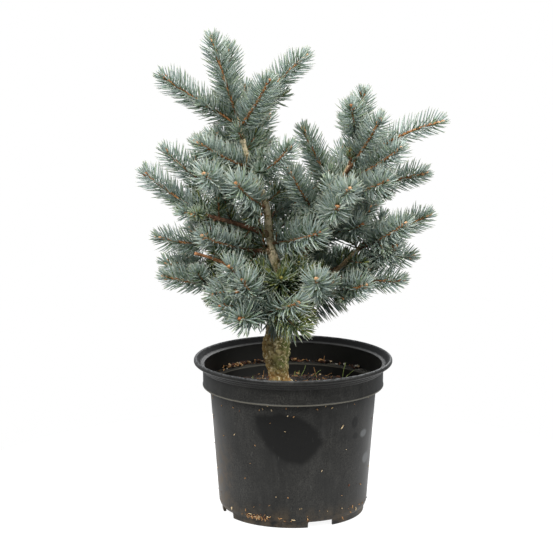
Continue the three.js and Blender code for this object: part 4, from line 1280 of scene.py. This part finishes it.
def rounded(profile):
    """The profile with rounded corners and divided long runs, so that it shades as moulded plastic does."""
    corners = np.array(profile, float)
    points = [corners[0]]
    for before, corner, after in zip(corners[:-2], corners[1:-1], corners[2:]):
        back, ahead = before - corner, after - corner
        cut = min(CORNER, 0.42 * np.linalg.norm(back), 0.42 * np.linalg.norm(ahead))
        start, finish = corner + unit(back) * cut, corner + unit(ahead) * cut
        for share in (0, 0.25, 0.5, 0.75, 1):
            points.append((1 - share) ** 2 * start + 2 * share * (1 - share) * corner + share**2 * finish)
    points.append(corners[-1])
    divided = [points[0]]
    for start, finish in zip(points[:-1], points[1:]):
        run = np.linalg.norm(finish - start)
        if run > LONG_RUN:
            shares = [0.35 / run, *np.linspace(0, 1, int(run / 9) + 2)[1:-1], 1 - 0.35 / run]
            divided += [start + (finish - start) * share for share in shares]
        divided.append(finish)
    return np.array(divided)


def pot_forms():
    """The pot turned round its profile."""
    profile = rounded(PROFILE)[1:-1]
    turns = np.arange(POT_SIDES) * 2 * math.pi / POT_SIDES
    radii, heights = profile[:, :1], np.repeat(profile[:, 1:], POT_SIDES, 1)
    skin = np.stack([radii * np.cos(turns), radii * np.sin(turns), heights], axis=-1)
    walls, foot, end = sleeve(len(profile), POT_SIDES)
    shell = Forms()
    shell.add(skin.reshape(-1, 3), (walls, 0), (foot, 0), (end, 0))
    return shell


def notch_forms():
    """Blocks that cut the four drainage notches out of the foot ring."""
    notches = Forms()
    for i in range(4):
        turn = math.radians(22.5 + 90 * i)
        ahead = np.array([math.cos(turn), math.sin(turn), 0])
        beside = np.array([-math.sin(turn), math.cos(turn), 0])
        ends = [[ahead * reach + beside * u + UP * v for u, v in NOTCH] for reach in (74.0, 92.0)]
        walls, foot, end = sleeve(2, len(NOTCH))
        notches.add(np.array(ends).reshape(-1, 3), (walls, 0), (foot, 0), (end, 0))
    return notches


def pot_piece(material):
    """The moulded pot with its notches cut."""
    pot = pot_forms().piece("nursery_pot", [material], "pot", ["pot"])
    cutter = notch_forms().piece("notch_cutter", [material], "pot", smooth=False)
    cut = pot.modifiers.new("notches", "BOOLEAN")
    cut.operation = "DIFFERENCE"
    cut.solver = "EXACT"
    cut.object = cutter
    shaped = bpy.data.meshes.new_from_object(pot.evaluated_get(bpy.context.evaluated_depsgraph_get()))
    pot.modifiers.clear()
    pot.data = shaped
    bpy.data.objects.remove(cutter)
    shaped.set_sharp_from_angle(angle=math.radians(50))


def on_wall(compass, height):
    """The place on the pot's outer wall at a compass and height, and the way it faces."""
    radius = float(np.interp(height, [z for _, z in WALL_PROFILE], [r for r, _ in WALL_PROFILE]))
    facing = heading(compass, 0)
    return facing * radius + UP * height, facing


# Crumbs and slivers of compost stuck to the pot: compass, height, length, width, kind.
STUCK = [
    (-108, 147, 3, 1.6, PALE_CHIP), (-105, 142, 2, 1.4, PALE_CHIP), (-95, 145, 2.4, 1.5, TAN_CHIP),
    (-74, 143, 2.6, 1.6, TAN_CHIP), (-68, 146, 2, 1.4, PALE_CHIP), (-63, 143, 3.2, 1.5, PALE_CHIP),
    (-90, 135, 2.2, 1.4, TAN_CHIP), (-94, 136, 1.6, 1.2, PALE_CHIP), (-54, 118, 6, 1.1, PALE_CHIP),
    (-136, 106, 2.2, 1.3, PALE_CHIP), (-149, 100, 2.4, 1.3, TAN_CHIP), (-118, 98, 1.8, 1.2, TAN_CHIP),
    (-44, 45, 3, 1.6, RED_CHIP), (-29, 41, 2.4, 1.4, TAN_CHIP), (-94, 38, 2, 1.3, TAN_CHIP),
    (-128, 56, 2.2, 1.3, TAN_CHIP), (-145, 14, 4, 2, PALE_CHIP), (-129, 17, 3.4, 1.6, TAN_CHIP),
    (-38, 17, 3.6, 1.4, TAN_CHIP), (-28, 16, 4, 1.4, TAN_CHIP), (-33, 12, 3, 1.4, PALE_CHIP),
    (-90, 11, 5, 1.2, PALE_CHIP), (-49, 7, 5, 1.6, TAN_CHIP), (-40, 11, 2.2, 1.4, TAN_CHIP),
    (-50, 19, 2, 1.3, PALE_CHIP),
]
DRIFT_CRUMBS = 70
SPECKS = 90


def stick_crumbs(stuck, random):
    """The single crumbs, the drift of straw and fibre along the foot, and specks all round."""
    for compass, height, length, width, kind in STUCK:
        seat, facing = on_wall(compass, height)
        add_flake(stuck, random, seat + facing * 0.3, facing, length * 1.3, width * 1.1, 0.8, kind, tilt=0.08)
    for _ in range(DRIFT_CRUMBS):
        compass = random.normal(-120, 4.5) if random.random() < 0.8 else random.uniform(-112, -78)
        share = (compass + 132) / 26
        seat, facing = on_wall(compass, max(9.5, random.normal(11.5 - 1.5 * share, 2.0)))
        kind = int(random.choice([TAN_CHIP, PALE_CHIP, RED_CHIP], p=[0.6, 0.15, 0.25]))
        length, width = random.uniform(1.6, 5), random.uniform(0.7, 1.5)
        add_flake(stuck, random, seat + facing * 0.35, facing, length, width, 0.9, kind, tilt=0.2)
    for _ in range(SPECKS):
        compass = random.uniform(-180, 180)
        heights = [random.uniform(12, 30), random.uniform(30, 135), random.uniform(135, 148)]
        seat, facing = on_wall(compass, float(random.choice(heights, p=[0.4, 0.3, 0.3])))
        kind = int(random.choice([TAN_CHIP, PALE_CHIP, RED_CHIP, DARK_CRUMB], p=[0.4, 0.3, 0.15, 0.15]))
        length, width = random.uniform(1.0, 3.4), random.uniform(0.5, 1.0)
        add_flake(stuck, random, seat + facing * 0.25, facing, length, width, 0.6, kind, tilt=0.1)


# Heaps on the ledge inside the rim: compass, spread and how many crumbs.
HEAPS = [(136, 9, 34), (126, 6, 30), (114, 6, 26), (88, 3, 22), (84, 2, 5), (79, 2, 4), (68, 7, 26)]
HEAPS += [(56, 2, 5), (42, 6, 22)]
LEDGE = 152.6  # the height of crumbs that lie right on it
LEDGE_CRUMBS = 170  # scattered between the heaps


def litter_ledge(litter, random):
    """The heaps with a straw in each, and a thin scatter all round."""
    kinds = [TAN_CHIP, PALE_CHIP, RED_CHIP, GREY_GRAIN, DARK_CRUMB]
    for compass, spread, count in HEAPS:
        for _ in range(count):
            at = random.normal(compass, spread * 0.5)
            reach = random.uniform(96, 101.5)
            seat = heading(at, 0) * reach + UP * random.uniform(LEDGE, LEDGE + count * 0.12)
            kind = int(random.choice(kinds, p=[0.24, 0.1, 0.3, 0.1, 0.26]))
            length = random.uniform(2, 7)
            add_flake(litter, random, seat, UP, length, length * 0.5, random.uniform(0.8, 2), kind)
        start = heading(compass, 0) * 99 + UP * 153
        way = unit(np.array([*random.normal(0, 1, 2), 0.25]))
        add_straw(litter, start, way, random.uniform(6, 12), 0.5, TAN_CHIP, int(compass * 7))
    for _ in range(LEDGE_CRUMBS):
        at = random.uniform(-180, 180)
        seat = heading(at, 0) * random.uniform(95.5, 101.8) + UP * 152.5
        kind = int(random.choice([TAN_CHIP, RED_CHIP, GREY_GRAIN, DARK_CRUMB], p=[0.15, 0.2, 0.2, 0.45]))
        length = random.uniform(0.8, 3)
        add_flake(litter, random, seat, UP, length, length * 0.6, 0.7, kind)


# The tall seedlings at the back: x, y, length and lean.
TALL_SEEDLINGS = [(9, 52, 15, 14), (24, 44, 13, 12), (59, 55, 17, 0), (61, 56, 14, 14)]


def seedling_forms():
    """Weed seedlings: pale green stalks standing in the compost, the tall ones and nine small ones."""
    seedlings = Forms()
    for row, (x, y, length, lean) in enumerate(TALL_SEEDLINGS):
        way = unit(np.array([lean / 20, 0.1, 1.0]))
        add_straw(seedlings, on_compost(x, y, -0.5), way, length, 0.45, 0, 500 + row)
    for row in range(9):
        random = chance(row, 66)
        turn, reach = random.random() * 2 * math.pi, random.uniform(30, 88)
        seat = on_compost(reach * math.cos(turn), reach * math.sin(turn), -0.5)
        way = unit(UP + random.normal(0, 0.3, 3))
        add_straw(seedlings, seat, way, random.uniform(4, 9), 0.4, 0, 520 + row)
    return seedlings


litter = Forms()
stuck = Forms()
scatter_litter(litter, chance(77), 1100)
loose = chance(91)  # first for the pot's crumbs, then for the ledge's
stick_crumbs(stuck, loose)
litter_ledge(litter, loose)

needle_materials = [waxed_needle(name, colour) for name, colour in NEEDLE_TONES.items()]
for piece, forms in needle_forms.items():
    stood_for = [mass[0] for index, mass in enumerate(MASSES) if side_of(index) == piece]
    forms.piece("needles_" + piece, needle_materials, "foliage", stood_for, smooth=False)

# Bark of young shoots: thin, dry and ridged by the pegs that needles sit on, so it is matt.
new_bark = mottled("orange_shoot_bark", ["#B47A46", "#86522E", "#DCAC7A"], (3.2, 1.9, 0.9), 0.7, 0.35)
# The darker brown for the foot of new twigs: partly older bark, partly painted shade.
shaded_bark = mottled("brown_shoot_bark", ["#785638", "#543C28", "#9C7850"], (4, 1.8, 0.9), 0.75, 0.35)
old_bark = mottled("grey_brown_shoot_bark", ["#7A5C40", "#5C4230", "#94805F"], (6, 2.5, 0.9), 0.8, 0.3)
# Bark of the boughs: dry flakes, bare pegs, and on the lowest one a green bloom of moss in the hollows.
bough_bark = mottled("flaky_bough_bark", ["#AE9775", "#7C664A", "#CBB998"], (9, 3.2, 1.1), 0.85, 0.4)
pegged_bark = mottled("orange_pegged_bark", ["#74503A", "#503726", "#94704E"], (7, 2.6, 1.0), 0.82, 0.4)
mossed_bark = mottled("mossed_bough_bark", ["#AF9A6E", "#6E6C42", "#CFBE94"], (6, 2.6, 1.1), 0.88, 0.4)
# A dead twig that has lost its bark: bare dry wood, weathered to an even orange-tan.
dead_bark = mottled("dry_dead_twig", ["#C08458", "#95623C", "#D4AA80"], (8, 2.4, 0.9), 0.75, 0.25)
twig_forms.piece("twigs", [new_bark, old_bark, shaded_bark], "foliage")
BUD_TONES = {"tan": "#B98458", "pale": "#CDA078", "brown": "#9A643C", "olive": "#8A8240"}
buds = [bud_scales(name, colour) for name, colour in BUD_TONES.items()]
bud_forms.piece("buds", buds, "foliage")
trunk_forms().piece("trunk_bark", [scaly_spruce_bark()], "bark", ["trunk"])
bough_names = [row[0] for row in BOUGHS if row[0] != "cut_twig"]
boughs.piece("bough_bark", [bough_bark, pegged_bark, mossed_bark], "bark", bough_names)
dead_twig.piece("dead_twig", [dead_bark], "dead_wood", ["cut_twig"])

# Potting compost: composted bark and peat, milled and damp, so it is nearly black, rough and without shine.
soil = mottled("damp_bark_compost", ["#17110C", "#281C14", "#4A3725"], (12, 3, 1.4), 0.95, 0.8)
compost_forms().piece("compost_mound", [soil], "compost", ["compost"])
# What lies loose on it: crumbs, chips of bark broken by milling, torn wood fibre and grit, all dry and matt.
LITTER_FINISHES = [
    mottled("dark_peat_crumb", ["#18110C", "#261B13", "#3C2D1F"], (4, 2, 0.8), 0.95, 0.4),
    mottled("red_brown_bark_chip", ["#5E3824", "#402618", "#7C5434"], (5, 2.4, 0.9), 0.9, 0.4),
    mottled("tan_bark_chip", ["#9C7448", "#75522F", "#C09C6C"], (5, 2.4, 0.9), 0.9, 0.4),
    mottled("pale_wood_fibre", ["#C7B08A", "#A08760", "#DCCDAE"], (4, 2, 0.8), 0.88, 0.3),
    mottled("grey_white_grit", ["#B4AFA6", "#8E877B", "#D3CFC8"], (3, 1.4, 0.6), 0.85, 0.3),
]
litter.piece("compost_litter", LITTER_FINISHES, "compost", smooth=False)
stuck.piece("crumbs_on_the_pot", LITTER_FINISHES, "compost", smooth=False)
# Seedling stalks: soft and sappy, with a thin skin, so they are smoother than all the rest.
stalk = mottled("seedling_stalk", ["#8FA05A", "#75883F", "#B0B97A"], (4, 2, 1.0), 0.6, 0.1)
seedling_forms().piece("seedlings", [stalk], "foliage")
pot_piece(moulded_polypropylene())

# The plain studio: a lit white floor, white all round, and soft lights from the front left, front right, top
# and back.
scene = bpy.context.scene
scene.view_settings.view_transform = "Standard"


def light_table():
    """Opal acrylic lit from below: cast and translucent, so it glows evenly and shadows on it are faint."""
    material, tree = new_finish("lit_opal_acrylic")
    place = add(tree, "ShaderNodeTexCoord").outputs["Object"]
    fibre = add(tree, "ShaderNodeTexNoise", {"Vector": place, "Scale": per(3)})
    bump = add(tree, "ShaderNodeBump", {"Strength": 0.05, "Distance": 0.1 * MM, "Height": fibre.outputs[0]})
    inputs = {"Base Color": linear("#747474"), "Roughness": 0.9, "Normal": bump.outputs[0]}
    inputs |= {"Emission Color": (1.0, 1.0, 1.0, 1.0), "Emission Strength": 0.92}
    surface = add(tree, "ShaderNodeBsdfPrincipled", inputs)
    add(tree, "ShaderNodeOutputMaterial", {"Surface": surface.outputs[0]})
    return material


def lay_floor():
    """A round table top, left out of the part."""
    bpy.ops.mesh.primitive_circle_add(vertices=96, radius=0.44, fill_type="NGON", location=(0, 0, 0))
    floor = bpy.context.object
    floor.name = "lit_floor"
    floor.data.materials.append(light_table())


def white_room():
    """White to look at; the light it casts is dimmer from the front and below than from behind and above."""
    world = bpy.data.worlds.new("white_room")
    world.use_nodes = True
    tree = world.node_tree
    tree.nodes.clear()
    seen = add(tree, "ShaderNodeBackground", {"Color": (1, 1, 1, 1), "Strength": 1.0})
    way = add(tree, "ShaderNodeSeparateXYZ", {"Vector": add(tree, "ShaderNodeTexCoord").outputs["Generated"]})
    behind = {"Value": way.outputs["Y"], "From Min": -0.95, "From Max": -0.35, "To Min": 0.1, "To Max": 0.72}
    behind = add(tree, "ShaderNodeMapRange", behind, interpolation_type="SMOOTHSTEP")
    above = {"Value": way.outputs["Z"], "From Min": -0.25, "From Max": 0.55, "To Min": 0.55, "To Max": 1.25}
    above = add(tree, "ShaderNodeMapRange", above)
    room = add(tree, "ShaderNodeMath", {0: behind.outputs[0], 1: above.outputs[0]}, operation="MULTIPLY")
    cast = add(tree, "ShaderNodeBackground", {"Color": linear("#F1F5F9"), "Strength": room.outputs[0]})
    kind = add(tree, "ShaderNodeLightPath")
    shades = {0: kind.outputs["Is Camera Ray"], 1: cast.outputs[0], 2: seen.outputs[0]}
    mix = add(tree, "ShaderNodeMixShader", shades)
    add(tree, "ShaderNodeOutputWorld", {"Surface": mix.outputs[0]})
    return world


def soft_light(name, place, aim, size, power):
    """A soft box of that size in metres, aimed at a place, and its power in watts."""
    lamp = bpy.data.lights.new(name, "AREA")
    lamp.shape = "RECTANGLE"
    lamp.size, lamp.size_y = size
    lamp.energy = power
    held = bpy.data.objects.new(name, lamp)
    held.location = place
    way = np.array(aim) - np.array(place)
    tip = math.atan2(math.hypot(way[0], way[1]), -way[2])
    held.rotation_euler = Euler((tip, 0, math.atan2(way[1], way[0]) - math.pi / 2))
    scene.collection.objects.link(held)


lay_floor()
scene.world = white_room()
soft_light("front_left_box", (-1.3, -1.6, 2.0), (0, 0, 0.3), (0.9, 0.9), 66)
soft_light("front_right_box", (1.7, -1.3, 1.5), (0, 0, 0.3), (0.9, 0.9), 33)
soft_light("overhead_box", (0, 0.1, 2.3), (0, 0, 0.2), (1.5, 1.5), 50)
soft_light("back_box", (0.6, 2.2, 1.4), (0, 0, 0.3), (1.4, 1.0), 16)

lens = bpy.data.cameras.new("camera")
lens.lens = 163.9
lens.sensor_width = 36
camera = bpy.data.objects.new("camera", lens)
camera.location = (-0.0192, -2.836, 0.870)
camera.rotation_euler = Euler((math.radians(78.18), 0, 0))
scene.collection.objects.link(camera)
scene.camera = camera
